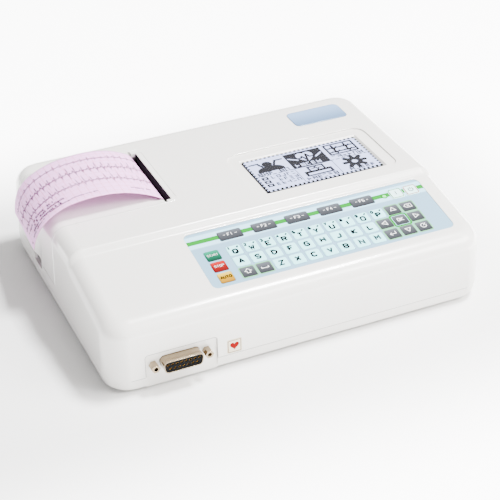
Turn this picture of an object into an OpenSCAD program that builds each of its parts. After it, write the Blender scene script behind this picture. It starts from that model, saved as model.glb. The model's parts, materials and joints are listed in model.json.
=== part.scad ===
// Portable electrocardiograph with a strip-chart printer, a graphic display and a foil keypad.
// Origin: centre of the footprint, on the plane of the feet. +X right, +Y to the back, +Z up.
// Distances named "from the left", "from the front" and "above the underside" start at the case.

/* [Case] */
// Width of the case, left to right
case_w = 250; // [246:1:270]
// Depth of the case, front to back
case_d = 190; // [188:1:205]
// Height of the case, underside to the flat rear part of the top
case_h = 58; // [56:0.5:64]
// Height of the parting line above the underside
base_h = 8.4; // [7.5:0.1:9]
// Radius of the upright corners
corner_r = 16; // [13:0.5:20]
// Fillet round the top edges
top_fillet = 10; // [7:0.5:12]
// Fillet round the underside
base_fillet = 3; // [2.6:0.1:4]
// Thickness of the moulded walls
wall = 2.5; // [2.2:0.1:2.8]
// Draft of the upper walls, in degrees
upper_draft = 1.5; // [0.5:0.1:2]
// Draft of the lower walls, in degrees
lower_draft = 9; // [4:0.5:11]
// Height of the feet below the underside
foot_h = 1.6; // [1:0.1:3]
// Radius of a foot
foot_r = 6; // [4:0.5:8]

/* [Deck] */
// Height of the sloping deck's plane at the front face, above the underside
deck_rise = 44.3; // [42:0.1:45]
// Slope of the deck, in degrees
deck_angle = 8.66; // [6:0.01:10]
// Depth of the deck, from the front
deck_len = 66; // [64:0.5:70]
// Depth of the blend from the deck up to the flat top
step_len = 5; // [3:0.5:8]

/* [Keypad] */
// Right margin of the keypad
keypad_right = 15.4; // [15.2:0.2:20]
// Front edge of the keypad, from the front
keypad_front = 14.5; // [12:0.5:16]
// Width of the keypad
keypad_w = 162.6; // [160:0.2:168]
// Length of the keypad along the slope
keypad_l = 50.6; // [50:0.1:53]
// Corner radius of the keypad
keypad_r = 4; // [2:0.5:6]
// Thickness of the keypad's faceplate
overlay_t = 0.9; // [0.7:0.1:1.1]
// Depth of the faceplate below the deck
overlay_sink = 0.3; // [0.1:0.1:0.5]
// Sideways pitch of the keys
key_pitch_x = 10.8; // [10.6:0.1:11]
// Pitch of the key rows along the slope
key_pitch_y = 10.2; // [10:0.1:10.6]
// Width of a key
key_w = 9.1; // [8.4:0.1:9.2]
// Length of a key along the slope
key_l = 8.6; // [8:0.1:8.7]
// Width of a function key
function_w = 15.3; // [13:0.1:16]
// Pitch of the function keys
function_pitch = 22.6; // [22:0.1:23]
// Height of a key above the faceplate
key_raise = 0.25; // [0.1:0.05:0.5]
// Travel of a key
key_travel = 0.3; // [0.2:0.05:0.35]
// Gap between a key and its cut-out
key_gap = 0.15; // [0.1:0.01:0.2]

/* [Display] */
// Right margin of the display
lcd_right = 28.1; // [26:0.1:32]
// Front edge of the display, from the front
lcd_front = 84.6; // [83:0.2:88]
// Width of the visible display
lcd_w = 82.4; // [78:0.2:86]
// Depth of the visible display
lcd_l = 42.2; // [38:0.2:44]
// Depth of the shallow tray round the display
tray_depth = 0.9; // [0.5:0.1:1.1]
// Corner radius of the tray
tray_r = 8; // [4:0.5:10]

/* [Printer lid] */
// Length of the lid over the top, from the left
lid_len = 76.3; // [74:0.1:78]
// Rear seam of the lid, from the back
lid_back = 21; // [20:0.5:24]
// How much wider than the paper the lid is, at each side
lid_side = 5; // [4.8:0.1:6]
// Lower edge of the lid, above the underside
lid_sill = 17; // [15:0.5:20]
// Thickness of the lid
lid_t = 2.2; // [1.8:0.1:2.4]
// Gap round the lid
lid_gap = 0.4; // [0.3:0.05:0.6]
// Radius of the hinge pins
hinge_pin_r = 1.2; // [1:0.1:1.5]
// Hinge axis below the lid's top face
hinge_drop = 3.2; // [3:0.1:3.6]
// Hinge axis back from the lid's end
hinge_back = 2.5; // [2.2:0.1:3]
// Width of the open paper slot beside the lid
slot_w = 3.4; // [3:0.1:4]
// Width of the tear bar's top face
tear_bar_w = 3.9; // [3:0.1:4.5]
// Height of the tear bar's lip inside the slot
tear_lip_h = 5; // [3:0.5:6]

/* [Printer] */
// Width of the recording paper
paper_w = 59; // [57:0.5:60]
// Thickness that stands for the paper web
paper_t = 0.2; // [0.15:0.05:0.3]
// Radius of the full paper roll
roll_r = 18.5; // [14:0.5:19]
// Outer radius of the roll's core
core_r = 8; // [6.5:0.5:9]
// Radius of the platen
platen_r = 5.5; // [5:0.1:5.8]
// Radius of the platen shaft
platen_shaft_r = 2; // [1.5:0.1:2.2]
// Height of the platen axis above the underside
platen_rise = 42.4; // [42:0.1:42.6]
// Tooth module of the gears
gear_module = 0.5; // [0.45:0.01:0.52]
// Width of the gears
gear_w = 4; // [3:0.1:4.5]
// Radius of the stepper motor
motor_r = 10; // [8:0.5:10.5]
// Length of the stepper motor
motor_l = 14; // [10:0.5:18]
// Thickness of the printer frame's plates
frame_t = 1.6; // [1.2:0.1:1.8]

/* [Patient connector] */
// Centre of the connector, from the left
connector_left = 43.7; // [42:0.1:46]
// Centre of the connector above the underside
connector_rise = 15.9; // [15.5:0.1:17]
// Distance between the two jack screws
jack_pitch = 33.3; // [33.3:0.1:33.4]
// Width of the connector panel
panel_w = 44.8; // [43.8:0.2:48]
// Top of the connector panel above the underside
panel_h = 23.5; // [23:0.5:26]
// Depth of the connector panel below the front face
panel_sink = 1; // [0.6:0.1:1.2]
// Length of the plug collar outside the panel
collar_l = 7; // [5:0.5:8]
// Width across the flats of the jack screws
jack_af = 4.75; // [4.5:0.05:5]
// Radius of the jack screws' tapped hole
jack_hole_r = 1.25; // [1.1:0.05:1.35]

/* [Fittings] */
// Width of the name plate
name_plate_w = 39; // [30:1:44]
// Depth of the name plate, front to back
name_plate_l = 20; // [14:1:22]
// Right margin of the name plate
name_plate_right = 18.4; // [17:0.1:26]
// Back margin of the name plate
name_plate_back = 17.5; // [16:0.5:19]
// Back margin of the battery door
door_back = 14; // [12:0.5:18]
// Right margin of the battery door
door_right = 36; // [35:0.5:44]
// Centre of the power inlet, from the right
inlet_right = 38; // [34:0.5:60]
// Centre of the power inlet above the underside
inlet_rise = 20; // [18:0.5:28]
// Side of the square heart plate
heart_plate_w = 9.2; // [8:0.2:10]
// Width of the battery door
door_w = 84; // [78:1:90]
// Depth of the battery door, front to back
door_l = 58; // [54:1:62]
// Radius of the case screws' shank
screw_r = 1.45; // [1.2:0.05:1.6]

/* [Hidden] */
$fn = 64;

// Clearances
clear = 0.15; // between pieces that stay put
run_fit = 0.05; // radial, between a shaft and its bore
press_gap = 0.02; // radial, between a shaft and the gear pressed on it
eps = 0.01;

// ---------- places ----------
function from_left(d) = d - case_w / 2;
function from_front(d) = d - case_d / 2;
function from_right(d) = case_w / 2 - d;
function from_back(d) = case_d / 2 - d;
top_z = foot_h + case_h;
part_z = foot_h + base_h;

// Printer zone
lid_end = from_left(lid_len);
lid_w = paper_w + 2 * lid_side;
lid_y1 = from_back(lid_back);
lid_y0 = lid_y1 - lid_w;
lid_mid = (lid_y0 + lid_y1) / 2;
sill_z = foot_h + lid_sill;
hinge_x = lid_end - hinge_back;
hinge_z = top_z - hinge_drop;
ear_t = 2.4;
ear_r = 2.4;
nose_r = 1.2;
swing_x = hinge_x + norm([hinge_back - nose_r, hinge_drop - nose_r]) + nose_r + 0.25;
lug_t = 3;
scoop_r = 24;
slot_x0 = lid_end + 0.7;
slot_x1 = slot_x0 + slot_w;
bar_x1 = slot_x1 + tear_bar_w;
slot_y0 = lid_y0 + 2;
slot_y1 = lid_y1 - 3.5;
web_x = lid_end + 0.5;
web_top = hinge_z - 5.9;
platen_x = web_x - paper_t / 2 - platen_r;
platen_z = foot_h + platen_rise;
head_x = web_x + paper_t / 2 + 0.15;
head_t = 5;
head_z0 = foot_h + 35;
head_z1 = foot_h + 47.2;
head_back = head_x + head_t + 7;

// Paper bay: a tub moulded into the top shell
tub_wall = 3.8;
tub_y0 = lid_y0 - lid_gap - 2;
tub_y1 = lid_y1 + lid_gap + 2;
tub_x1 = platen_x - 10.3;
tub_floor_z = foot_h + 10.4;
tub_floor_t = 2;
roll_z = tub_floor_z + tub_floor_t + roll_r + 0.6;
roll_x = from_left(wall + 3.3) + roll_r + 1.5;
journal_r = 3;
paper_y0 = lid_mid - paper_w / 2;

// Printer frame and gears
plate_y0 = lid_y0 + 2.2;
plate_y1 = lid_y1 - 3.8 + frame_t;
frame_x0 = platen_x - 6.4;
frame_z0 = foot_h + 9;
frame_z1 = foot_h + 49.8;
gear_y0 = lid_y1 + 1;
platen_teeth = 32;
idler_teeth = 36;
pinion_teeth = 12;
backlash = 0.12;
motor_x = platen_x + 19.8;
motor_z = platen_z - 20;
frame_x1 = motor_x + 15;
idler_reach = gear_module * (platen_teeth + idler_teeth) / 2 + backlash;
pinion_reach = gear_module * (pinion_teeth + idler_teeth) / 2 + backlash;
idler_at = meet([platen_x, platen_z], [motor_x, motor_z], idler_reach, pinion_reach);
idler_pin_r = 1.5;
bush_r = 3.5;
pinion_shaft_r = 1;

// Keypad frame: u runs right from the keypad's left edge, v up the slope, w out of the deck
keypad_x = from_right(keypad_right + keypad_w);
keypad_y = from_front(keypad_front);
keypad_z = foot_h + deck_height(keypad_front);
column_0 = 25.1;
row_0 = 7.4;
function column(i) = column_0 + key_pitch_x * i;
function row(j) = row_0 + key_pitch_y * j;
left_column = 10.8;
function_row = 42.2;
function function_at(i) = 28.4 + function_pitch * i;
power_w = 9.2;
key_r = 1.1;
board_t = 1.6;
dome_t = 0.3;
key_flange_t = 0.45;

// Display
lcd_x = from_right(lcd_right + lcd_w);
lcd_y = from_front(lcd_front);
tray_side = 9.3;
tray_front = 5.5;
tray_back = 9;
pane_t = 1.5;
lcd_frame_z = top_z - wall - pane_t - 0.1;
lcd_frame_gap = 5.8;
lcd_ear = 4.2;

// Patient connector
connector_x = from_left(connector_left);
connector_z = foot_h + connector_rise;
panel_y = from_front(panel_sink);
panel_t = 2.2;
panel_x0 = connector_x + 1 - panel_w / 2;
collar_w = 24.7;
collar_h = 8;
collar_t = 0.5;
flange_t = 0.9;
contact_pitch = 2.77;
contact_rows = 2.84;
jack_stem_r = 1.4;

// Plates and power inlet
name_plate_x = from_right(name_plate_right + name_plate_w);
name_plate_y = from_back(name_plate_back + name_plate_l);
heart_x = panel_x0 + panel_w + 6.2;
heart_up = 0.8;
inlet_x = from_right(inlet_right);
inlet_z = foot_h + inlet_rise;
inlet_r = 4;

// Case fastenings
screw_inset_x = 11.5;
screw_inset_y = 14.5;
boss_r = 4;
screw_places = [for (sx = [-1, 1], sy = [-1, 1])
    [sx * (case_w / 2 - screw_inset_x), sy * (case_d / 2 - screw_inset_y)]];
foot_inset = 27;
foot_places = [for (sx = [-1, 1], sy = [-1, 1])
    [sx * (case_w / 2 - foot_inset), sy * (case_d / 2 - foot_inset)]];
foot_seat = 0.8;

// Battery
door_x = from_right(door_right + door_w);
door_y = from_back(door_back + door_l);
cage_h = 8;
door_t = 2;
cage_t = 1.8;
battery_h = 20;

// Crossing point, on the far side from the origin, of two circles with radii ra and rb
function meet(a, b, ra, rb) = let (
    span = norm(b - a),
    along = (ra * ra - rb * rb + span * span) / (2 * span),
    off = sqrt(ra * ra - along * along),
    dir = (b - a) / span)
    a + along * dir + off * [-dir[1], dir[0]];

// ---------- the case's form ----------

// A ramp from 0 to 1 with level ends
function ramp(t) = let (u = min(max(t, 0), 1)) u * u * (3 - 2 * u);

// Height of the deck's plane, and of the whole top, above the underside, y from the front
function deck_height(y) = deck_rise + y * tan(deck_angle);
function top_height(y) = deck_height(min(y, deck_len))
    + (case_h - deck_height(deck_len)) * ramp((y - deck_len) / step_len);

// Cross-section, at distance s from one end, of a w by d block with upright corners r and
// top edges rounded to f. Its top is at height h and its foot at low.
function section(w, d, r, f, s, h, low, n) = let (
    near = min(s, d - s),
    sweep = near >= f ? 90 : acos(1 - near / f),
    bay = max(0, r - near),
    edge = [for (k = [0:n]) let (a = sweep * k / n, e = f * (1 - cos(a)))
        [w / 2 - r + sqrt(max(0, pow(r - e, 2) - bay * bay)), h - f * (1 - sin(a))]])
    concat([[-edge[0][0], low]], [for (p = edge) [-p[0], p[1]]],
        [for (k = [n:-1:0]) edge[k]], [[edge[0][0], low]]);

// Cross-sections of a block d deep, as [distance that sets the outline, place], both from the
// front: close together round both ends' corners, and at the distances in middle between them
function stations(d, r, middle, n) = let (
    first = r * (1 - cos(90 / n)),
    corner = [for (k = [1:n]) let (s = r * (1 - cos(90 * k / n))) [s, (s - first) * r / (r - first)]])
    concat(corner, [for (s = middle) [s, s]], [for (k = [n - 1:-1:0]) [d, d] - corner[k]]);

// A block the size of the case, all its walls set in by inset. tops(y) is its height,
// lean the draft of its walls and waist the height at which they have their nominal size.
module block(inset, f, tops, low, lean, waist, middle, corner_n, arc_n) {
    w = case_w - 2 * inset;
    d = case_d - 2 * inset;
    r = corner_r - inset;
    ss = stations(d, r, middle, corner_n);
    m = 2 * arc_n + 4;
    last = len(ss) - 1;
    points = [for (s = ss) for (p = section(w, d, r, f - inset, s[0], tops(inset + s[1]) - inset, low, arc_n))
        let (k = 2 * (p[1] - waist) * tan(lean))
        [p[0] * (1 - k / w), (inset + s[1] - case_d / 2) * (1 - k / d), p[1]]];
    faces = concat(
        [[for (j = [0:m - 1]) j]],
        [[for (j = [m - 1:-1:0]) last * m + j]],
        [for (i = [0:last - 1]) for (j = [0:m - 2])
            [i * m + j, (i + 1) * m + j, (i + 1) * m + j + 1, i * m + j + 1]],
        [concat([for (i = [last:-1:0]) i * m], [for (i = [0:last]) i * m + m - 1])]);
    translate([0, 0, foot_h]) polyhedron(points, faces, convexity = 6);
}

step_rows = [for (k = [0:6]) deck_len + step_len * k / 6];

module upper_block(inset, low, corner_n, arc_n)
    block(inset, top_fillet, function(y) top_height(y), low, upper_draft, base_h,
        [for (s = step_rows) s - inset], corner_n, arc_n);

module lower_block(inset, low, corner_n, arc_n)
    translate([0, 0, part_z + foot_h]) mirror([0, 0, 1])
        block(inset, base_fillet, function(y) base_h, low, lower_draft, 0,
            [case_d / 2 - inset], corner_n, arc_n);

// Points of the case's left-hand profile, set in by inset, from the height low up to the
// top face and along it to x = far: the form that the lid and its opening share
function side_points(inset, low, far, n) = let (
    f = top_fillet - inset,
    lean = tan(upper_draft),
    at = function(e, z) [-case_w / 2 + inset + e + (z - part_z) * lean, z])
    concat([at(0, low)],
        [for (k = [0:n]) at(f * (1 - cos(90 * k / n)), top_z - inset - f * (1 - sin(90 * k / n)))],
        [[far, top_z - inset]]);

// Stands a profile drawn in X and Z upright and runs it from y0 to y1
module run_y(y0, y1)
    translate([0, y1, 0]) rotate([90, 0, 0]) linear_extrude(y1 - y0) children();

// Box from corner a to corner b
module box(a, b) translate(a) cube(b - a);

// Outline of a w by l plate with corners r, its left front corner at the origin
function plate_points(w, l, r, n = 4) = [for (c = [[w - r, l - r, 0], [r, l - r, 90], [r, r, 180],
    [w - r, r, 270]]) for (k = [0:n]) let (a = c[2] + 90 * k / n) [c[0] + r * cos(a), c[1] + r * sin(a)]];

module plate(w, l, r, t, n = 4) linear_extrude(t) polygon(plate_points(w, l, r, n));

// A straight shaft or bore along Y, from y0 to y1
module rod_y(x, z, r, y0, y1) translate([x, y1, z]) rotate([90, 0, 0]) cylinder(r = r, h = y1 - y0);

// The keypad's own frame
module on_deck(u = 0, v = 0, w = 0)
    translate([keypad_x, keypad_y, keypad_z]) rotate([deck_angle, 0, 0]) translate([u, v, w]) children();

// ---------- shared outlines ----------

// Outline of a spur gear with a tooth on the angle start; flanks run root, pitch line, tip
function gear_points(teeth, start) = let (
    pitch = 360 / teeth,
    r = gear_module * teeth / 2,
    flank = [[r - 1.15 * gear_module, 0.33], [r, 0.225], [r + 0.85 * gear_module, 0.11]])
    [for (i = [0:teeth - 1]) for (k = [0:5]) let (
        side = k < 3 ? -1 : 1,
        at = flank[k < 3 ? k : 5 - k],
        a = start + pitch * (i + side * at[1]))
        [at[0] * cos(a), at[0] * sin(a)]];

// Outline of the connector's D shape, wide side up, grown outwards by grow
function d_points(grow = 0, n = 5) = let (r = 2.6)
    [for (c = [[1, 1, -10], [-1, 1, 90], [-1, -1, 190], [1, -1, 270]]) for (k = [0:n]) let (
        a = c[2] + (c[1] > 0 ? 100 : 80) * k / n,
        x = collar_w / 2 - r - (c[1] < 0 ? (collar_h - 2 * r) * tan(10) : 0))
        [c[0] * x + (r + grow) * cos(a), c[1] * (collar_h / 2 - r) + (r + grow) * sin(a)]];

// Closed outline of a strip t thick whose middle follows the points of path
function strip_points(path, t) = let (
    last = len(path) - 1,
    side = [for (i = [0:last]) let (
        d = path[min(i + 1, last)] - path[max(i - 1, 0)])
        [-d[1], d[0]] / norm(d) * t / 2])
    concat([for (i = [0:last]) path[i] + side[i]], [for (i = [last:-1:0]) path[i] - side[i]]);

// A smooth curve through the points p, with n steps between neighbours
function curve(p, n) = let (last = len(p) - 1)
    concat([for (i = [0:last - 1]) let (
        a = p[max(i - 1, 0)], b = p[i], c = p[i + 1], d = p[min(i + 2, last)])
        for (k = [0:n - 1]) let (t = k / n)
            (2 * b + (c - a) * t + (2 * a - 5 * b + 4 * c - d) * t * t
                + (3 * b - a - 3 * c + d) * t * t * t) / 2], [p[last]]);

// The front face's frame: right, up the face and out of it
module on_front(x, up)
    translate([x, -case_d / 2, part_z]) rotate([90 - upper_draft, 0, 0])
        translate([0, up, 0]) children();

// ---------- case ----------

board_x0 = from_left(19);
board_x1 = from_right(19);
board_y0 = from_front(7.5);
board_y1 = from_front(68);
board_z = foot_h + 8.3;
// Parts on the board, from its left front corner: x, y, width, depth, height
chips = [[101, 14.5, 20, 20, 1.6], [137, 22.5, 14, 14, 1.6], [41, 32.5, 12, 18, 1.6],
    [171, 18.5, 22, 12, 2.4], [62, 8, 26, 5, 6], [60, 40, 9, 6, 2.2], [76, 40, 9, 6, 2.2],
    [176, 40, 16, 9, 5], [140, 6, 12, 8, 3]];
cans = [[108, 46], [120, 46], [132, 46], [157, 10], [200, 22]];
can_r = 4;
can_h = 9;
post_places = [for (x = [board_x0 + 5, board_x1 - 5], y = [board_y0 + 8, board_y1 - 5]) [x, y]];
frame_posts = [for (x = [frame_x0 + 5, frame_x1 - 5], y = [plate_y0 + 8, plate_y1 - 8]) [x, y]];
cage_inset = 2;
panel_x1 = panel_x0 + panel_w;
panel_back = panel_y + panel_t;

// Hole pattern of the connector through the panel
module connector_cut() {
    run_y(panel_y - 1, panel_back + 1) translate([connector_x, connector_z]) {
        polygon(d_points(0.3));
        for (s = [-1, 1]) translate([s * jack_pitch / 2, 0]) rotate(45) circle(r = jack_stem_r + 0.1);
    }
}

module bottom_shell() color("#d9d9d4") difference() {
    union() {
        difference() {
            lower_block(0, 0, 9, 4);
            lower_block(wall, -1, 5, 2);
        }
        box([panel_x0 + clear, panel_y, foot_h + 1], [panel_x1 - clear, panel_back, connector_z - clear / 2]);
        for (p = screw_places)
            translate([p[0], p[1], foot_h + 1]) cylinder(r = boss_r, h = base_h - 1);
        for (p = post_places)
            translate([p[0], p[1], foot_h + 1]) cylinder(r = 3, h = board_z - foot_h - 1);
        for (p = frame_posts)
            translate([p[0], p[1], foot_h + 1]) cylinder(r = 3, h = frame_z0 - foot_h - 1);
        box([door_x + cage_inset - cage_t, door_y + cage_inset - cage_t, foot_h + 1],
            [door_x + door_w - cage_inset + cage_t, door_y + door_l - cage_inset + cage_t, foot_h + cage_h]);
    }
    // Room for the lower wall's front face behind the panel's recess
    box([panel_x0, -case_d, 0], [panel_x1, panel_y, part_z + 1]);
    connector_cut();
    for (p = screw_places) translate([p[0], p[1], 0]) {
        cylinder(r = screw_r + clear, h = case_h);
        cylinder(r = 3.1, h = foot_h + 4);
    }
    for (p = foot_places)
        translate([p[0], p[1], -1]) cylinder(r = foot_r + clear, h = 1 + foot_h + foot_seat);
    for (p = concat(post_places, frame_posts))
        translate([p[0], p[1], foot_h + wall]) cylinder(r = 1, h = 20);
    box([door_x - clear, door_y - clear, 0],
        [door_x + door_w + clear, door_y + door_l + clear, foot_h + door_t]);
    box([door_x + cage_inset, door_y + cage_inset, 0],
        [door_x + door_w - cage_inset, door_y + door_l - cage_inset, foot_h + 20]);
}

// Walls, floor and journal notches of the paper bay, inside the top shell
module bay_walls() {
    for (y = [tub_y0, tub_y1 - tub_wall])
        run_y(y, y + tub_wall)
            polygon(concat(side_points(1, tub_floor_z, tub_x1, 6), [[tub_x1, tub_floor_z]]));
    box([from_left(1.5), tub_y0 + 1, tub_floor_z + 0.2],
        [tub_x1 - 0.4, tub_y1 - 1, tub_floor_z + tub_floor_t + 1]);
}

module bay_cuts() {
    // The bay's hollow
    run_y(tub_y0 + tub_wall, tub_y1 - tub_wall)
        polygon(concat(side_points(2, tub_floor_z + tub_floor_t, slot_x0, 6),
            [[slot_x0, tub_floor_z + tub_floor_t]]));
    // The lid's seat: all that lies outside its inner face
    run_y(lid_y0 - lid_gap, lid_y1 + lid_gap)
        polygon(concat([[-case_w, sill_z - lid_gap]],
            side_points(lid_t + 0.35, sill_z - lid_gap, swing_x, 6),
            [[swing_x, top_z + 5], [-case_w, top_z + 5]]));
    // Finger notch below the lid's edge
    run_x(-case_w / 2 - 1, -case_w / 2 + 6) translate([lid_mid - 7.5, sill_z - 4.6])
        polygon(plate_points(15, 12, 1.5));
    // Notches that carry the roll's journals, open at the top
    for (y = [lid_y0 - lid_gap, tub_y1 - tub_wall - 1]) {
        notch_w = tub_y0 + tub_wall + 1 - (lid_y0 - lid_gap);
        rod_y(roll_x, roll_z, journal_r + 0.1, y, y + notch_w);
        box([roll_x - journal_r - 0.1, y, roll_z], [roll_x + journal_r + 0.1, y + notch_w, top_z]);
    }
    // Paper slot and the tear bar's seat
    box([slot_x0 - 1, slot_y0, top_z - 8], [slot_x1 + eps, slot_y1, top_z + 1]);
    box([slot_x1, slot_y0, top_z - 2.1], [bar_x1 + clear, slot_y1, top_z + 1]);
    box([slot_x1, slot_y0, top_z - 8], [slot_x1 + 1.2 + clear, slot_y1, top_z + 1]);
}

// Profile drawn in Y and Z, run from x0 to x1
module run_x(x0, x1)
    translate([x0, 0, 0]) rotate([90, 0, 90]) linear_extrude(x1 - x0) children();

// Rectangular aperture whose edges slope in by grow on their way down from the tray
module lcd_aperture(grow) {
    depth = wall - tray_depth + 0.2;
    translate([lcd_x + lcd_w / 2, lcd_y + lcd_l / 2, top_z - wall - 0.2])
        linear_extrude(depth + eps, scale = [1 + 2 * grow / lcd_w, 1 + 2 * grow / lcd_l])
            square([lcd_w, lcd_l], center = true);
}

module top_shell() color("#e4e4de") difference() {
    union() {
        difference() {
            upper_block(0, base_h, 9, 9);
            upper_block(wall, base_h - 1, 5, 5);
        }
        bay_walls();
        for (y = [lid_y0 - lid_gap - lug_t, lid_y1 + lid_gap])
            box([hinge_x - 3, y, hinge_z - 3], [hinge_x + 3, y + lug_t, top_z - 1]);
        for (p = screw_places)
            translate([p[0], p[1], part_z + clear])
                cylinder(r = boss_r - 0.5, h = foot_h + top_height(p[1] + case_d / 2) - 1 - part_z - clear);
        box([panel_x0 - 2, panel_y, connector_z - 1], [panel_x1 + 2, panel_back, foot_h + panel_h + 2]);
        lcd_posts();
    }
    bay_cuts();
    for (y = [lid_y0 - lid_gap - lug_t - 1, lid_y1 + lid_gap - 1])
        rod_y(hinge_x, hinge_z, hinge_pin_r + run_fit, y, y + lug_t + 2);
    for (p = screw_places) translate([p[0], p[1], part_z - 1]) cylinder(r = screw_r + run_fit, h = 16);
    // Connector panel: a recess, and below the connector's middle the bottom shell's tab
    run_y(-case_d, panel_y) translate([panel_x0, part_z]) polygon(plate_points(panel_w, panel_h - base_h, 2));
    box([panel_x0 - clear, -case_d, 0], [panel_x1 + clear, panel_back + clear, connector_z]);
    connector_cut();
    on_deck(0, 0, -overlay_t - overlay_sink) plate(keypad_w, keypad_l, keypad_r, 8);
    on_deck(2, 2, -8) cube([keypad_w - 4, keypad_l - 4, 16]);
    translate([lcd_x - tray_side, lcd_y - tray_front, top_z - tray_depth])
        plate(lcd_w + 2 * tray_side, lcd_l + tray_front + tray_back, tray_r, 4, 6);
    lcd_aperture(1.6);
    translate([name_plate_x - clear, name_plate_y - clear, top_z - 0.7])
        plate(name_plate_w + 2 * clear, name_plate_l + 2 * clear, 4, 4);
    on_front(heart_x - clear, heart_up - clear) translate([0, 0, -0.5])
        plate(heart_plate_w + 2 * clear, heart_plate_w + 2 * clear, 0.8, 2);
    rod_y(inlet_x, inlet_z, inlet_r + clear, case_d / 2 - 6, case_d / 2 + 1);
}

// Posts that the display's frame is screwed to
module lcd_posts()
    for (x = [lcd_x - lcd_frame_gap, lcd_x + lcd_w + lcd_frame_gap],
            y = [lcd_y + 6, lcd_y + lcd_l - 6])
        translate([x, y, lcd_frame_z]) cylinder(r = 2.4, h = top_z - 1.5 - lcd_frame_z);

module rubber_feet() color("#3a3a3c") for (p = foot_places)
    translate([p[0], p[1], 0]) cylinder(r = foot_r, h = foot_h + foot_seat);

module case_screws() color("silver") for (p = screw_places) translate([p[0], p[1], foot_h + 2]) {
    cylinder(r = 2.8, h = 2);
    cylinder(r = screw_r, h = base_h + 9);
}

// Lid of the battery bay, with grip grooves beside its rear edge and a thumb slope behind them
module battery_door() color("#d9d9d4") difference() {
    translate([door_x, door_y, foot_h]) plate(door_w, door_l, 0.8, door_t);
    for (k = [0:4]) translate([door_x + door_w / 2, door_y + door_l - 6 - 2.4 * k, foot_h])
        rotate([45, 0, 0]) cube([34 - 4 * k, 1.1, 1.1], center = true);
    translate([door_x + door_w / 2, door_y + door_l, foot_h - 0.9]) rotate([14, 0, 0])
        cube([26, 8, 2], center = true);
}

// Four cells side by side in a shrunk film that dips between them
module battery_pack() color("#4a5568") {
    cells = 4;
    gap = cage_inset + 0.4;
    pitch = (door_w - 2 * gap) / cells;
    radius = min(pitch, battery_h) / 2;
    film_dip = 1.4;
    y0 = door_y + gap;
    y1 = door_y + door_l - gap;
    z = foot_h + door_t + radius;
    x0 = door_x + gap + pitch / 2;
    for (i = [0:cells - 1]) rod_y(x0 + pitch * i, z, radius, y0, y1);
    box([x0, y0, z - radius + film_dip], [x0 + pitch * (cells - 1), y1, z + radius - film_dip]);
}

// ---------- lid, slot and tear bar ----------

module printer_lid() color("#e4e4de") difference() {
    union() {
        run_y(lid_y0, lid_y1) polygon(concat(side_points(0, sill_z, lid_end - nose_r, 9),
            [for (k = [1:4]) let (a = 90 - 90 * k / 4)
                [lid_end - nose_r * (1 - cos(a)), top_z - nose_r * (1 - sin(a))]],
            reverse(side_points(lid_t, sill_z, lid_end, 9))));
        for (y = [lid_y0, lid_y1 - ear_t]) rod_y(hinge_x, hinge_z, ear_r, y, y + ear_t);
        // Thicker lip that guides the paper, and stiffening ribs
        box([lid_end - 10, slot_y0 + 1, top_z - lid_t - 1.2], [lid_end, slot_y1 - 1, top_z - lid_t + 0.5]);
        for (y = [lid_y0 + lid_w * 0.3, lid_y0 + lid_w * 0.7])
            box([from_left(14), y, top_z - lid_t - 1.8], [lid_end - 8, y + 1.4, top_z - lid_t + 0.5]);
    }
    for (y = [lid_y0 - 1, lid_y1 - ear_t - 1])
        rod_y(hinge_x, hinge_z, hinge_pin_r + run_fit, y, y + ear_t + 2);
    // Ramp down to the slot
    run_y(slot_y0 + 1.5, slot_y1 - 1.5)
        polygon([[lid_end - 9, top_z], [lid_end + 1, top_z - 2.4], [lid_end + 1, top_z + 1],
            [lid_end - 9, top_z + 1]]);
    // Thumb scoop in the lower edge
    translate([-case_w / 2, lid_mid, sill_z - 1]) rotate([0, 5.6, 0])
        translate([-scoop_r + 1.5, 0, 0]) cylinder(r = scoop_r, h = 16);
}

function reverse(p) = [for (i = [len(p) - 1:-1:0]) p[i]];

module lid_hinge_pins() color("silver") {
    rod_y(hinge_x, hinge_z, hinge_pin_r, lid_y0 - lid_gap - lug_t + 0.2, lid_y0 + ear_t - 0.1);
    rod_y(hinge_x, hinge_z, hinge_pin_r, lid_y1 - ear_t + 0.1, lid_y1 + lid_gap + lug_t - 0.2);
}

// Flat bar with a row of teeth along its lip
module tear_bar() color("#e4e4de") difference() {
    union() {
        box([slot_x1 + clear, slot_y0 + clear, top_z - 2.1], [bar_x1, slot_y1 - clear, top_z]);
        box([slot_x1 + clear, slot_y0 + clear, top_z - 2.1 - tear_lip_h],
            [slot_x1 + 1.2, slot_y1 - clear, top_z - 1]);
    }
    for (y = [slot_y0 + 1.5:1.5:slot_y1 - 1]) translate([slot_x1 + clear, y, top_z])
        rotate([0, 0, 45]) cube([0.7, 0.7, 2], center = true);
}

// ---------- printer ----------

module printer_frame() color("#8a8f96") difference() {
    union() {
        for (y = [plate_y0, plate_y1 - frame_t]) run_y(y, y + frame_t)
            polygon([[frame_x0, frame_z0], [frame_x1, frame_z0], [frame_x1, frame_z0 + 28],
                [head_x + 14, frame_z1], [frame_x0, frame_z1]]);
        box([frame_x0, plate_y0, frame_z0], [frame_x1, plate_y1, frame_z0 + frame_t]);
        box([head_back, plate_y0, head_z0 + 2], [head_back + frame_t, plate_y1, head_z1 - 1]);
        rod_y(idler_at[0], idler_at[1], 3, plate_y1 - eps, gear_y0 - 0.3);
        rod_y(idler_at[0], idler_at[1], idler_pin_r, plate_y1 - eps, gear_y0 + gear_w + 0.6);
    }
    rod_y(platen_x, platen_z, bush_r + run_fit, plate_y0 - 1, plate_y1 + 1);
    rod_y(motor_x, motor_z, 3.2, plate_y1 - frame_t - 1, plate_y1 + 1);
    for (p = frame_posts) translate([p[0], p[1], frame_z0 - 1]) cylinder(r = 1.6, h = frame_t + 2);
}

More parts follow.
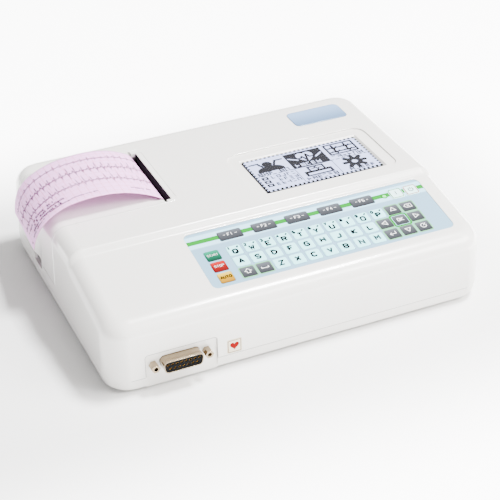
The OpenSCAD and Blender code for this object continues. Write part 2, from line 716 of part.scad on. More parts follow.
module platen_roller() color("#2b2b2d") difference() {
    rod_y(platen_x, platen_z, platen_r, plate_y0 + frame_t + 0.8, plate_y1 - frame_t - 0.8);
    rod_y(platen_x, platen_z, platen_shaft_r, plate_y0, plate_y1);
}

module platen_shaft() color("silver")
    rod_y(platen_x, platen_z, platen_shaft_r, plate_y0 - 1.2, gear_y0 + gear_w + 0.6);

module platen_bushes() color("#c9a35b") difference() {
    for (end = [[plate_y0, 1], [plate_y1, -1]]) {
        inner = end[0] + end[1] * (frame_t + 0.4);
        rod_y(platen_x, platen_z, bush_r, min(end[0], inner), max(end[0], inner));
        outer = end[0] - end[1] * 0.8;
        rod_y(platen_x, platen_z, bush_r + 1.1, min(end[0], outer), max(end[0], outer));
    }
    rod_y(platen_x, platen_z, platen_shaft_r + run_fit, plate_y0 - 2, plate_y1 + 2);
}

// Angle of the line from a to b
function bearing(a, b) = atan2(b[1] - a[1], b[0] - a[0]);
platen_at = [platen_x, platen_z];
motor_at = [motor_x, motor_z];
idler_start = bearing(idler_at, platen_at) + 180 / idler_teeth;
idler_lead = let (step = 360 / idler_teeth, a = (bearing(idler_at, motor_at) - idler_start) / step)
    (round(a) - a) * step;
pinion_start = bearing(motor_at, idler_at) + 180 / pinion_teeth - idler_lead * idler_teeth / pinion_teeth;

module spur_gear(at, teeth, start, bore)
    run_y(gear_y0, gear_y0 + gear_w) translate(at) difference() {
        polygon(gear_points(teeth, start));
        circle(r = bore);
    }

// Ring-shaped recess of depth web_dip in both faces of a gear, from its hub to its rim
module gear_recess(at, teeth, hub_r) {
    web_dip = gear_w / 4;
    rim_r = gear_module * (teeth / 2 - 2.6);
    for (y = [gear_y0 - 1, gear_y0 + gear_w - web_dip]) difference() {
        rod_y(at[0], at[1], rim_r, y, y + web_dip + 1);
        rod_y(at[0], at[1], hub_r, y - 1, y + web_dip + 2);
    }
}

module platen_gear() color("#e8e2c8") difference() {
    spur_gear(platen_at, platen_teeth, bearing(platen_at, idler_at), platen_shaft_r + press_gap);
    gear_recess(platen_at, platen_teeth, platen_shaft_r + 1.8);
}

module idler_gear() color("#e8e2c8") difference() {
    spur_gear(idler_at, idler_teeth, idler_start, idler_pin_r + run_fit);
    gear_recess(idler_at, idler_teeth, idler_pin_r + 1.8);
}

module motor_pinion() color("#c9a35b") {
    run_y(gear_y0, gear_y0 + gear_w) translate(motor_at) polygon(gear_points(pinion_teeth, pinion_start));
    rod_y(motor_x, motor_z, pinion_shaft_r, plate_y1 - frame_t - 8, gear_y0 + eps);
}

module stepper_motor() color("#70757c") difference() {
    union() {
        rod_y(motor_x, motor_z, motor_r, plate_y1 - frame_t - motor_l, plate_y1 - frame_t);
        rod_y(motor_x, motor_z, 3, plate_y1 - frame_t - eps, plate_y1 - 0.3);
    }
    rod_y(motor_x, motor_z, pinion_shaft_r + run_fit, plate_y1 - frame_t - 9, plate_y1 + 1);
}

// Ceramic strip on a finned aluminium heat sink
module print_head() color("#b8bcc2") difference() {
    box([head_x, plate_y0 + frame_t + 0.4, head_z0], [head_x + head_t, plate_y1 - frame_t - 0.4, head_z1]);
    for (z = [head_z0 + 2.2:2.4:head_z1 - 2])
        box([head_x + 2.2, plate_y0, z], [head_x + head_t + 1, plate_y1, z + 1.1]);
}

// Helical compression spring of wire radius t along +X, its coil radius r
module coil_spring(r, t, length, turns, sides = 6, steps = 12) {
    n = turns * steps;
    points = [for (i = [0:n]) let (a = 360 * i / steps, x = t + (length - 2 * t) * i / n)
        for (j = [0:sides - 1]) let (b = 360 * j / sides, q = r + t * cos(b))
            [x + t * sin(b), q * cos(a), q * sin(a)]];
    faces = concat([[for (j = [sides - 1:-1:0]) j]], [[for (j = [0:sides - 1]) n * sides + j]],
        [for (i = [0:n - 1]) for (j = [0:sides - 1]) let (k = (j + 1) % sides)
            [i * sides + j, i * sides + k, (i + 1) * sides + k, (i + 1) * sides + j]]);
    polyhedron(points, faces, convexity = 8);
}

module head_springs() color("silver") for (y = [plate_y0 + 14, plate_y1 - 14])
    translate([head_x + head_t + 0.1, y, (head_z0 + head_z1) / 2]) coil_spring(2.4, 0.35, 6.8, 4);

// ---------- paper ----------

module paper_roll() color("#f3e4ee") difference() {
    rod_y(roll_x, roll_z, roll_r, paper_y0, paper_y0 + paper_w);
    rod_y(roll_x, roll_z, core_r + run_fit, paper_y0 - 1, paper_y0 + paper_w + 1);
}

module roll_spindle() color("#e9e9ea") {
    rod_y(roll_x, roll_z, core_r, paper_y0, paper_y0 + paper_w);
    rod_y(roll_x, roll_z, journal_r, lid_y0 - lid_gap + 0.2, lid_y1 + lid_gap - 0.2);
}

// Web from the bottom of the roll, round a bend and up past the print head
bend_r = 9;
module paper_web() color("#f3e4ee") {
    low = roll_z - roll_r - paper_t / 2 - 0.25;
    path = concat([[roll_x, low]],
        [for (k = [0:8]) let (a = 90 * k / 8)
            [web_x - bend_r * (1 - sin(a)), low + bend_r * (1 - cos(a))]],
        [[web_x, web_top]]);
    run_y(paper_y0, paper_y0 + paper_w) polygon(strip_points(path, paper_t));
}

// Printed strip: out of the slot, arched over the lid and hanging past the left edge
// Its front and rear edges, in X from the slot and Z from the top: the rear one lies lower
STRIP_FRONT = [[0, -9], [0, -4.4], [-0.4, -1], [-3.7, 2.3], [-9.4, 5.2], [-22.2, 9.3], [-35.1, 11.3],
    [-54.4, 11.3], [-67.4, 8.6], [-77, 2.8], [-81.6, -5], [-83.6, -13.4]];
STRIP_REAR = [[0, -9], [0, -4.4], [-0.4, -1], [-4, 2.1], [-9.6, 4.9], [-20.8, 8.7], [-33.8, 10.3],
    [-49.8, 9.4], [-61, 6], [-69.6, 0.9], [-77.4, -9.6], [-81, -20.4]];
strip_t = 0.3;
module paper_strip() color("#f3e4ee")
    translate([web_x, paper_y0, top_z])
        sheet(curve(STRIP_FRONT, 3), curve(STRIP_REAR, 3), paper_w, strip_t);

// Bent sheet of thickness t whose edges at y = 0 and y = w follow two paths in X and Z
module sheet(front, rear, w, t) {
    last = len(front) - 1;
    outline = [for (edge = [[front, 0], [rear, w]])
        [for (p = strip_points(edge[0], t)) [p[0], edge[1], p[1]]]];
    n = len(outline[0]);
    faces = concat(
        [for (e = [0, 1]) for (i = [0:last - 1]) let (
            quad = [e * n + i, e * n + i + 1, e * n + n - 2 - i, e * n + n - 1 - i])
            e == 0 ? quad : reverse(quad)],
        [for (i = [0:n - 1]) let (k = (i + 1) % n) for (half = [0, 1])
            half == 0 ? [i, n + i, n + k] : [i, n + k, k]]);
    polyhedron(concat(outline[0], outline[1]), faces, convexity = 8);
}

// ---------- keypad ----------

board_w = -wall - 0.2;
faceplate_w = -overlay_sink - overlay_t;
key_foot_w = board_w + dome_t + key_travel + 0.05;
power_v = 41.6;
led_u = 134.7;
led_r = 1.4;
// Keys: centre u and v, width, length
KEY_FUNCTION = [for (i = [0:4]) [function_at(i), function_row, function_w, 8]];
KEY_POWER_ON = [143, power_v, power_w, power_w];
KEY_POWER_OFF = [153.7, power_v, power_w, power_w];
function key_at(u, v) = [u, v, key_w, key_l];
KEY_START = key_at(left_column, row(2));
KEY_STOP = key_at(left_column, row(1));
KEY_AUTO = key_at(left_column, row(0));
KEY_SHIFT = key_at(column(0), row(0));
KEY_SPACE = key_at(column(1), row(0));
KEY_UP = key_at(column(10), row(2));
KEY_BACKSPACE = key_at(column(11), row(2));
KEY_LEFT = key_at(column(9), row(1));
KEY_OK = key_at(column(10), row(1));
KEY_RIGHT = key_at(column(11), row(1));
KEY_ENTER = key_at(column(9), row(0));
KEY_DOWN = key_at(column(10), row(0));
KEY_ESCAPE = key_at(column(11), row(0));
LETTERS_TOP = [for (i = [0:9]) key_at(column(i), row(2))];
LETTERS_MIDDLE = [for (i = [0:8]) key_at(column(i), row(1))];
LETTERS_BOTTOM = [for (i = [2:8]) key_at(column(i), row(0))];
ALL_KEYS = concat(KEY_FUNCTION, [KEY_POWER_ON, KEY_POWER_OFF, KEY_START, KEY_STOP, KEY_AUTO,
    KEY_SHIFT, KEY_SPACE, KEY_UP, KEY_BACKSPACE, KEY_LEFT, KEY_OK, KEY_RIGHT, KEY_ENTER,
    KEY_DOWN, KEY_ESCAPE], LETTERS_TOP, LETTERS_MIDDLE, LETTERS_BOTTOM);

// Block with the outline of key k, grown by grow, from height w0 to w1 in the keypad's frame
module key_block(k, grow, w0, w1)
    on_deck(k[0] - k[2] / 2 - grow, k[1] - k[3] / 2 - grow, w0)
        plate(k[2] + 2 * grow, k[3] + 2 * grow, key_r, w1 - w0, 3);

// A key: cap, shouldered upper edge and the flange that the faceplate holds down
module key(k) {
    key_block(k, 0, key_foot_w, -overlay_sink + key_raise * 0.4);
    key_block(k, -0.3, -overlay_sink, -overlay_sink + key_raise);
    key_block(k, 0.4, key_foot_w, faceplate_w - 0.05);
}

module keypad_faceplate() color("#cdd9de") difference() {
    on_deck(clear, clear, faceplate_w)
        plate(keypad_w - 2 * clear, keypad_l - 2 * clear, keypad_r - clear, overlay_t);
    for (k = ALL_KEYS) key_block(k, key_gap, -4, 2);
    on_deck(led_u, function_row - 0.4, -4) cylinder(r = led_r + clear, h = 8);
}

module keypad_board() color("#2f6b45")
    on_deck(0.5, 0.5, board_w - board_t) cube([keypad_w - 1, keypad_l - 1, board_t]);

module key_domes() color("silver") for (k = ALL_KEYS)
    on_deck(k[0], k[1], board_w) cylinder(r = 2.6, h = dome_t, $fn = 24);

module status_led() color("#7ad08a")
    on_deck(led_u, function_row - 0.4, board_w) cylinder(r = led_r, h = -overlay_sink - board_w);

module key_function_1() color("#7d838a") key(KEY_FUNCTION[0]);
module key_function_2() color("#7d838a") key(KEY_FUNCTION[1]);
module key_function_3() color("#7d838a") key(KEY_FUNCTION[2]);
module key_function_4() color("#7d838a") key(KEY_FUNCTION[3]);
module key_function_5() color("#7d838a") key(KEY_FUNCTION[4]);
module key_power_on() color("#e6f0f3") key(KEY_POWER_ON);
module key_power_off() color("#f2eef0") key(KEY_POWER_OFF);
module key_start() color("#1fae7d") key(KEY_START);
module key_stop() color("#e8323a") key(KEY_STOP);
module key_auto() color("#f0c75a") key(KEY_AUTO);
module key_shift() color("#7d838a") key(KEY_SHIFT);
module key_space() color("#7d838a") key(KEY_SPACE);
module key_up() color("#7d838a") key(KEY_UP);
module key_backspace() color("#7d838a") key(KEY_BACKSPACE);
module key_left() color("#7d838a") key(KEY_LEFT);
module key_ok() color("#7d838a") key(KEY_OK);
module key_right() color("#7d838a") key(KEY_RIGHT);
module key_enter() color("#7d838a") key(KEY_ENTER);
module key_down() color("#7d838a") key(KEY_DOWN);
module key_escape() color("#7d838a") key(KEY_ESCAPE);
module letter_keys_top() color("#e0ebf0") for (k = LETTERS_TOP) key(k);
module letter_keys_middle() color("#e0ebf0") for (k = LETTERS_MIDDLE) key(k);
module letter_keys_bottom() color("#e0ebf0") for (k = LETTERS_BOTTOM) key(k);

// ---------- display and electronics ----------

module lcd_window() color("#cfd4ea", 0.5)
    translate([lcd_x - 3, lcd_y - 3, top_z - wall - pane_t]) cube([lcd_w + 6, lcd_l + 6, pane_t]);

module lcd_module() color("#565b66") {
    box([lcd_x - 2, lcd_y - 4, lcd_frame_z - 6], [lcd_x + lcd_w + 2, lcd_y + lcd_l + 4, lcd_frame_z]);
    for (x = [lcd_x - lcd_frame_gap, lcd_x + lcd_w + lcd_frame_gap], y = [lcd_y + 6, lcd_y + lcd_l - 6])
        box([x - lcd_ear, y - lcd_ear, lcd_frame_z - 1.2], [x + lcd_ear, y + lcd_ear, lcd_frame_z]);
}

module main_board() color("#2f6b45") difference() {
    union() {
        box([board_x0, board_y0, board_z], [board_x1, board_y1, board_z + board_t]);
        for (c = chips) translate([board_x0 + c[0], board_y0 + c[1], board_z + board_t - eps])
            cube([c[2], c[3], c[4]]);
        for (c = cans) translate([board_x0 + c[0], board_y0 + c[1], board_z + board_t - eps])
            cylinder(r = can_r, h = can_h);
    }
    for (p = post_places) translate([p[0], p[1], board_z - 1]) cylinder(r = 1.5, h = board_t + 2);
}

// ---------- patient connector ----------

contact_at = [for (j = [0, 1]) for (i = [0:7 - j])
    [(i - (7 - j) / 2) * contact_pitch, (0.5 - j) * contact_rows]];
insert_front = panel_y - collar_l + 0.4;
insert_back = panel_back + 9;

module connector_shell() color("#c8c4ba") {
    run_y(panel_y - collar_l, panel_back + eps) translate([connector_x, connector_z]) difference() {
        polygon(d_points());
        polygon(d_points(-collar_t));
    }
    run_y(panel_back, panel_back + flange_t) translate([connector_x, connector_z]) difference() {
        translate([-19.6, -6.2]) polygon(plate_points(39.2, 12.4, 1.2));
        polygon(d_points(-collar_t));
        for (s = [-1, 1]) translate([s * jack_pitch / 2, 0]) circle(r = jack_stem_r + 0.05);
    }
}

module connector_insert() color("#1c1c1e") difference() {
    union() {
        run_y(insert_front, panel_back + 2) translate([connector_x, connector_z])
            polygon(d_points(-collar_t - 0.05));
        box([connector_x - 13, panel_back + flange_t + 0.1, board_z + board_t + 0.05],
            [connector_x + 13, insert_back, connector_z + 4.5]);
    }
    for (c = contact_at)
        rod_y(connector_x + c[0], connector_z + c[1], 0.75, insert_front - 1, insert_back + 1);
}

module connector_contacts() color("#d9b45a") difference() {
    for (c = contact_at)
        rod_y(connector_x + c[0], connector_z + c[1], 0.7, insert_front + 0.4, insert_back + 2);
    for (c = contact_at)
        rod_y(connector_x + c[0], connector_z + c[1], 0.5, insert_front, insert_front + 6);
}

module jack_screws() color("silver") for (s = [-1, 1])
    translate([connector_x + s * jack_pitch / 2, panel_y, connector_z]) rotate([-90, 0, 0]) difference() {
        union() {
            translate([0, 0, -5.5]) cylinder(r = jack_af / sqrt(3), h = 5.5, $fn = 6);
            cylinder(r = jack_stem_r, h = panel_t + flange_t + 2.5);
        }
        translate([0, 0, -6]) cylinder(r = jack_hole_r, h = 5.5);
    }

// Panel jack: flanged barrel, nut inside the wall and a centre pin
module power_inlet() color("#26262a") {
    difference() {
        union() {
            rod_y(inlet_x, inlet_z, inlet_r, case_d / 2 - 12, case_d / 2 + 0.6);
            rod_y(inlet_x, inlet_z, inlet_r + 1.4, case_d / 2 - 4.6, case_d / 2 - 3.2);
        }
        rod_y(inlet_x, inlet_z, 2.9, case_d / 2 - 9, case_d / 2 + 1);
    }
    rod_y(inlet_x, inlet_z, 0.95, case_d / 2 - 9.1, case_d / 2 - 0.6);
}

// ---------- plates ----------

module name_plate() color("#c5d5e2")
    translate([name_plate_x, name_plate_y, top_z - 0.7]) plate(name_plate_w, name_plate_l, 4, 0.6);

module heart_plate() color("#ecebe6")
    on_front(heart_x, heart_up) translate([0, 0, -0.5]) plate(heart_plate_w, heart_plate_w, 0.8, 0.5);

bottom_shell();
top_shell();
rubber_feet();
case_screws();
battery_door();
battery_pack();
printer_lid();
lid_hinge_pins();
tear_bar();
printer_frame();
platen_roller();
platen_shaft();
platen_bushes();
platen_gear();
idler_gear();
stepper_motor();
motor_pinion();
print_head();
head_springs();
paper_roll();
roll_spindle();
paper_web();
paper_strip();
keypad_faceplate();
keypad_board();
key_domes();
status_led();
key_function_1();
key_function_2();
key_function_3();
key_function_4();
key_function_5();
key_power_on();
key_power_off();
key_start();
key_stop();
key_auto();
key_shift();
key_space();
key_up();
key_backspace();
key_left();
key_ok();
key_right();
key_enter();
key_down();
key_escape();
letter_keys_top();
letter_keys_middle();
letter_keys_bottom();
lcd_window();
lcd_module();
main_board();
connector_shell();
connector_insert();
connector_contacts();
jack_screws();
power_inlet();
name_plate();
heart_plate();
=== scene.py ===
import json
import math
import bmesh
import bpy
import numpy as np
from mathutils import Matrix, Vector

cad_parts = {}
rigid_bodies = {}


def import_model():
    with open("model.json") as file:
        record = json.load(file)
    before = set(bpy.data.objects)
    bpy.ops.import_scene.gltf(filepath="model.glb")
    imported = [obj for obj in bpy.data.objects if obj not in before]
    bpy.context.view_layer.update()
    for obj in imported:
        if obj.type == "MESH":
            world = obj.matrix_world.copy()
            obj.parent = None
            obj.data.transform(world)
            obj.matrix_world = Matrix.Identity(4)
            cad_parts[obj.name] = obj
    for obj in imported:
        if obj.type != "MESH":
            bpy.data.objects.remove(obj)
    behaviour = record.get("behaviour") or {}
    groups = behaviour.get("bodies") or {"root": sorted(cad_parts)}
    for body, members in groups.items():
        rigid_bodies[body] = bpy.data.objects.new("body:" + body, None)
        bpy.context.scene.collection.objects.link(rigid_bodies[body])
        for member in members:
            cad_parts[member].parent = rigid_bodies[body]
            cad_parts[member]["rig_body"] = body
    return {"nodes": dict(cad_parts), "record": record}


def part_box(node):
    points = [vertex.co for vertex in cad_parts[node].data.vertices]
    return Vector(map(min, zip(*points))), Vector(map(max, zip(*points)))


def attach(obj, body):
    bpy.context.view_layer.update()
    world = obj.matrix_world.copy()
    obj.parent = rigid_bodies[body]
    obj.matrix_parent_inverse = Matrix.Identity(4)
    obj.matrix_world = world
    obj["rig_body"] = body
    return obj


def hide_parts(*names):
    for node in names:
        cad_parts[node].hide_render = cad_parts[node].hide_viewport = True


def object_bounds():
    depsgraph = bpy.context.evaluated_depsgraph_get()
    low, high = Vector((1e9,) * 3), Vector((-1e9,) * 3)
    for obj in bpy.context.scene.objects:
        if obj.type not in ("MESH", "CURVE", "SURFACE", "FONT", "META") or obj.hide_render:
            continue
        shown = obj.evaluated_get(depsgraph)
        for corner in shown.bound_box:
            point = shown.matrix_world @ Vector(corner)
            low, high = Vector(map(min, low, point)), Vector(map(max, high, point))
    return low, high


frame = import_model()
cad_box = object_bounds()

MM = 0.001
scene = bpy.context.scene
nodes = frame["nodes"]
node_body = {n: o["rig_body"] for n, o in nodes.items()}
node_slot = {s["node"]: s["material_slot"] for s in frame["record"]["subparts"]}

# ---------------------------------------------------------------- camera
# A pinhole fitted to the case in the photograph; EYE is its place in metres
PHOTO_PX, FOCAL_PX, SENSOR = 500.0, 1449.94, 36.0
RIGHT = Vector((0.91083, -0.41268, -0.00924))
FORWARD = Vector((0.34073, 0.76428, -0.54752))
UP = RIGHT.cross(FORWARD)
EYE = (-0.31556, -0.72090, 0.52789)
cam_data = bpy.data.cameras.new("camera")
cam = bpy.data.objects.new("camera", cam_data)
scene.collection.objects.link(cam)
cam_data.sensor_width = SENSOR
cam_data.lens = SENSOR * FOCAL_PX / PHOTO_PX
cam_data.clip_start, cam_data.clip_end = 0.05, 20.0
cam.matrix_world = Matrix([(RIGHT[k], UP[k], -FORWARD[k], EYE[k]) for k in range(3)]
                          + [(0.0, 0.0, 0.0, 1.0)])
scene.camera = cam


# ---------------------------------------------------------------- materials
def srgb(r, g, b):
    """Linear colour from 0-255 values."""
    def lin(c):
        c = c / 255.0
        return c / 12.92 if c <= 0.04045 else ((c + 0.055) / 1.055) ** 2.4
    return (lin(r), lin(g), lin(b), 1.0)


LIGHT = 4.2  # how much light an upward face gets
HOLD = 0.966  # how far the whole picture is held back, so that its whites keep some form
TONE_MID, TONE_BEND = 3.35, 1.2  # fitted to the display transform
DARKEST, PALEST = 0.002, 0.97  # the least and the most that a paint reflects


def seen(r, g, b, deepen=1.15):
    """Paint that looks like these 0-255 values in the studio's strong light. The display
    transform bends tones like v / (1 - v) and pales them, which deepen makes good."""
    tone = [HOLD * c / 255 for c in (r, g, b)]
    lin = [(v / (1 - v) / TONE_MID) ** TONE_BEND / LIGHT for v in tone]
    mid = sum(lin) / 3
    return tuple(min(PALEST, max(DARKEST, mid + (c - mid) * deepen)) for c in lin) + (1.0,)


def scaled(c, k):
    return (min(1, c[0] * k), min(1, c[1] * k), min(1, c[2] * k), 1.0)


def add_node(t, kind, sockets, **settings):
    """A new shader node; sockets gives each input its constant or the socket that feeds it."""
    n = t.nodes.new("ShaderNode" + kind)
    for k, v in settings.items():
        setattr(n, k, v)
    for k, v in sockets.items():
        if isinstance(v, bpy.types.NodeSocket):
            t.links.new(v, n.inputs[k])
        else:
            n.inputs[k].default_value = v
    return n


MIX_A, MIX_B, MIX_RESULT = 6, 7, 2  # the Mix node's colour sockets


def mixed(t, factor, a, b, **settings):
    """Colour socket from a to b as factor goes from 0 to 1."""
    n = add_node(t, "Mix", {0: factor, MIX_A: a, MIX_B: b}, data_type="RGBA", **settings)
    return n.outputs[MIX_RESULT]


def ramp(t, value, low, high, stops):
    """Colour socket that runs through the stops, (part, colour), as value goes low to high."""
    span = add_node(t, "MapRange", {"Value": value, "From Min": low, "From Max": high})
    r = add_node(t, "ValToRGB", {"Fac": span.outputs["Result"]})
    for i, (p, c) in enumerate(stops):
        e = r.color_ramp.elements[i] if i < 2 else r.color_ramp.elements.new(p)
        e.position, e.color = p, (*c[:3], 1.0)
    return r.outputs["Color"]


def new_material(name, constants):
    """A new material, its node tree, its shader with these constants, and object coordinates."""
    m = bpy.data.materials.new(name)
    m.use_nodes = True
    t = m.node_tree
    b = t.nodes["Principled BSDF"]
    for k, v in constants.items():
        b.inputs[k].default_value = v
    return m, t, b, add_node(t, "TexCoord", {}).outputs["Object"]


GRAIN_DEPTH = 0.00004  # metres
PATCH = 3.1  # roughness changes this many times as fast as the colour drifts


def surface(name, colour, rough=0.45, metal=0.0, vary=0.03, scale=25.0, grain=1500.0, bump=0.05,
            rough_vary=0.06, coat=0.0, specular=0.5, paint=None, stretch=(1, 1, 1)):
    """A procedural surface: broad colour drift, fine grain in the bump, uneven roughness.
    paint(tree, coordinates) may give the colour socket."""
    m, t, b, at = new_material(name, {"Metallic": metal, "Specular IOR Level": specular,
                                      "Coat Weight": coat, "Coat Roughness": 0.13})
    where = add_node(t, "Mapping", {"Vector": at, "Scale": stretch}).outputs["Vector"]

    def noise(s, detail, roughness=0.5):
        return add_node(t, "TexNoise", {"Vector": where, "Scale": s, "Detail": detail,
                                        "Roughness": roughness}).outputs["Fac"]

    drift = noise(scale, 4)
    if paint is None:
        base = mixed(t, drift, scaled(colour, 1 - vary), scaled(colour, 1 + vary))
    else:
        tone = mixed(t, drift, (1 - vary, 1 - vary, 1 - vary, 1), (1, 1, 1, 1))
        base = mixed(t, 1.0, paint(t, at), tone, blend_type="MULTIPLY")
    t.links.new(base, b.inputs["Base Color"])
    spread = add_node(t, "MapRange", {"Value": noise(scale * PATCH, 3),
                                      "To Min": max(0.02, rough - rough_vary),
                                      "To Max": min(1.0, rough + rough_vary)})
    t.links.new(spread.outputs["Result"], b.inputs["Roughness"])
    if bump:
        h = add_node(t, "Bump", {"Height": noise(grain, 2, 0.6), "Strength": bump,
                                 "Distance": GRAIN_DEPTH})
        t.links.new(h.outputs["Normal"], b.inputs["Normal"])
    return m


def moulded(name, colour, **finish):
    """The case's hard white plastic with its fine spark-eroded grain."""
    return surface(name, colour, bump=0.22, grain=2200, **finish)


def flat_ink(name, colour, rough, vary, specular):
    """A flat print, with no grain of its own."""
    return surface(name, colour, rough=rough, vary=vary, bump=0, specular=specular)


def clear_pane(name, tint):
    """Thin clear acrylic: lets the picture through and keeps the gloss."""
    rough = 0.06
    m, t, b, at = new_material(name, {"Base Color": tint, "Alpha": 0.022, "Coat Weight": 1.0,
                                      "Coat Roughness": 0.05})
    n = add_node(t, "TexNoise", {"Vector": at, "Scale": 60})
    spread = add_node(t, "MapRange", {"Value": n.outputs["Fac"], "To Min": rough * 0.7,
                                      "To Max": rough * 1.5})
    t.links.new(spread.outputs["Result"], b.inputs["Roughness"])
    return m


FOIL = seen(203, 220, 228)
PALE = seen(224, 236, 240)
GREEN = (0.001, 0.21, 0.010, 1.0)
MATERIALS = {
    "case_plastic": moulded("case_plastic", srgb(233, 231, 227), rough=0.30, coat=0.8, vary=0.012),
    "base_plastic": moulded("base_plastic", srgb(230, 228, 224), rough=0.34, vary=0.015),
    "foot_rubber": surface("foot_rubber", srgb(46, 46, 48), rough=0.85, vary=0.12, bump=0.5,
                           grain=900),
    "steel": surface("steel", srgb(150, 152, 157), rough=0.32, metal=1.0, vary=0.08,
                     stretch=(1, 8, 1)),
    "spring_steel": surface("spring_steel", srgb(150, 152, 156), rough=0.25, metal=1.0, vary=0.06),
    "battery_wrap": surface("battery_wrap", srgb(34, 52, 84), rough=0.30, vary=0.10, coat=0.3),
    "platen_rubber": surface("platen_rubber", srgb(30, 30, 32), rough=0.75, vary=0.15, bump=0.5,
                             grain=1800),
    "gear_plastic": surface("gear_plastic", srgb(222, 212, 176), rough=0.42, vary=0.04),
    "brass": surface("brass", srgb(178, 132, 62), rough=0.28, metal=1.0, vary=0.08,
                     stretch=(1, 12, 1)),
    "aluminium": surface("aluminium", srgb(168, 171, 176), rough=0.38, metal=1.0, vary=0.06,
                         stretch=(1, 10, 1)),
    "paper": surface("paper", seen(246, 232, 243), rough=0.70, vary=0.03, bump=0.3, grain=2500,
                     specular=0.2),
    "core_plastic": surface("core_plastic", srgb(214, 214, 218), rough=0.45, vary=0.03),
    "keypad_foil": surface("keypad_foil", FOIL, rough=0.38, vary=0.015, specular=0.2),
    "circuit_board": surface("circuit_board", srgb(20, 70, 38), rough=0.38, vary=0.25, scale=140,
                             coat=0.3),
    "led_lens": surface("led_lens", seen(190, 236, 200), rough=0.12, vary=0.05, coat=0.5),
    "key_grey": surface("key_grey", seen(128, 132, 138), rough=0.36, vary=0.03),
    "key_white": surface("key_white", seen(236, 244, 247), rough=0.38, vary=0.015, specular=0.2),
    "key_letter": surface("key_letter", seen(227, 241, 251), rough=0.38, vary=0.015, specular=0.2),
    "key_green": surface("key_green", seen(26, 168, 120), rough=0.34, vary=0.03),
    "key_red": surface("key_red", seen(226, 42, 50), rough=0.34, vary=0.03),
    "key_yellow": surface("key_yellow", seen(240, 196, 84), rough=0.34, vary=0.03),
    "display": surface("display", srgb(60, 63, 72), rough=0.5, vary=0.05),
    "nickel": surface("nickel", srgb(158, 142, 118), rough=0.18, metal=1.0, vary=0.14, scale=160,
                      rough_vary=0.08),
    "black_plastic": surface("black_plastic", srgb(10, 10, 11), rough=0.6, vary=0.2, specular=0.06),
    "plate_silver": surface("plate_silver", seen(190, 206, 222), rough=0.16, vary=0.02, coat=0.6),
    "plate_white": surface("plate_white", seen(238, 236, 230), rough=0.25, vary=0.02, coat=0.3),
    "window": clear_pane("window", srgb(240, 242, 250)),
}
for name, o in nodes.items():
    m = MATERIALS[node_slot[name]]
    if o.material_slots:
        o.material_slots[0].material = m
    else:
        o.data.materials.append(m)


# ---------------------------------------------------------------- mesh helpers
def link(name, data, mats, body):
    """A new piece of the scene that rides on a body."""
    o = bpy.data.objects.new(name, data)
    scene.collection.objects.link(o)
    for m in mats:
        data.materials.append(m)
    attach(o, body)
    return o


WELD, SLIVER = 4e-6, 2e-6  # metres
FLAT, SMOOTH, BEVELLED = math.radians(0.5), math.radians(28), math.radians(32)


def dress(node, bevel, segments=2, material=None):
    """The CAD node's own form with welded faces, rounded edges and smooth fillets, in its place."""
    mesh = nodes[node].data.copy()
    mesh.materials.clear()
    bm = bmesh.new()
    bm.from_mesh(mesh)
    bmesh.ops.remove_doubles(bm, verts=bm.verts, dist=WELD)
    bmesh.ops.dissolve_degenerate(bm, dist=SLIVER, edges=bm.edges)
    bmesh.ops.dissolve_limit(bm, angle_limit=FLAT, verts=bm.verts, edges=bm.edges)
    for f in bm.faces:
        f.smooth = True
    for e in bm.edges:
        e.smooth = not (len(e.link_faces) == 2 and e.calc_face_angle(0) > SMOOTH)
    bm.to_mesh(mesh)
    bm.free()
    o = link(node + "_skin", mesh, [material or MATERIALS[node_slot[node]]], node_body[node])
    edges = o.modifiers.new("edges", "BEVEL")
    edges.width = bevel * MM
    edges.segments = segments
    edges.limit_method = "ANGLE"
    edges.angle_limit = BEVELLED
    edges.harden_normals = True
    o.modifiers.new("normals", "WEIGHTED_NORMAL").keep_sharp = True
    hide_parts(node)


for n, b in (("top_shell", 0.35), ("printer_lid", 0.55), ("bottom_shell", 0.35)):
    dress(n, bevel=b, segments=3)
for n in ("tear_bar", "battery_door"):
    dress(n, bevel=0.2)


def loft(rings, smooth=False):
    """Closed form through rings of points, from its underside to its face."""
    bm = bmesh.new()
    loops = [[bm.verts.new(p) for p in ring] for ring in rings]
    for a, b in zip(loops, loops[1:]):
        for i in range(len(a)):
            j = (i + 1) % len(a)
            bm.faces.new((a[i], a[j], b[j], b[i])).smooth = smooth
    bm.faces.new(loops[-1]).smooth = smooth
    bm.faces.new(list(reversed(loops[0])))
    return bm


def place_form(bm, name, mat, matrix=Matrix()):
    """Makes the form a piece of the base."""
    mesh = bpy.data.meshes.new(name)
    bm.transform(matrix)
    bm.normal_update()
    bm.to_mesh(mesh)
    bm.free()
    return link(name, mesh, [mat], "base")


# ---------------------------------------------------------------- flat artwork
class Art:
    """Collects thin printed shapes, each with its ink, as one mesh."""

    def __init__(self):
        self.verts, self.faces, self.inks = [], [], []

    def add(self, points, ink):
        first = len(self.verts)
        self.verts.extend(points)
        self.faces.append(list(range(first, first + len(points))))
        self.inks.append(ink)

    def put(self, shapes, ink, place):
        """Adds flat shapes, each point through place(u, v)."""
        for s in shapes:
            self.add([place(q[0], q[1]) for q in s], ink)

    def make(self, name, mats, body):
        mesh = bpy.data.meshes.new(name)
        mesh.from_pydata([tuple(v) for v in self.verts], [], self.faces)
        mesh.polygons.foreach_set("material_index", self.inks)
        mesh.update()
        link(name, mesh, mats, body)


def rounded(w, l, r, n=5, at=(0, 0)):
    """Outline of a w by l rectangle with corners r about the point at."""
    out = []
    for cx, cy, a0 in ((w / 2 - r, l / 2 - r, 0), (r - w / 2, l / 2 - r, 90),
                       (r - w / 2, r - l / 2, 180), (w / 2 - r, r - l / 2, 270)):
        for k in range(n + 1):
            a = math.radians(a0 + 90 * k / n)
            out.append((at[0] + cx + r * math.cos(a), at[1] + cy + r * math.sin(a)))
    return out


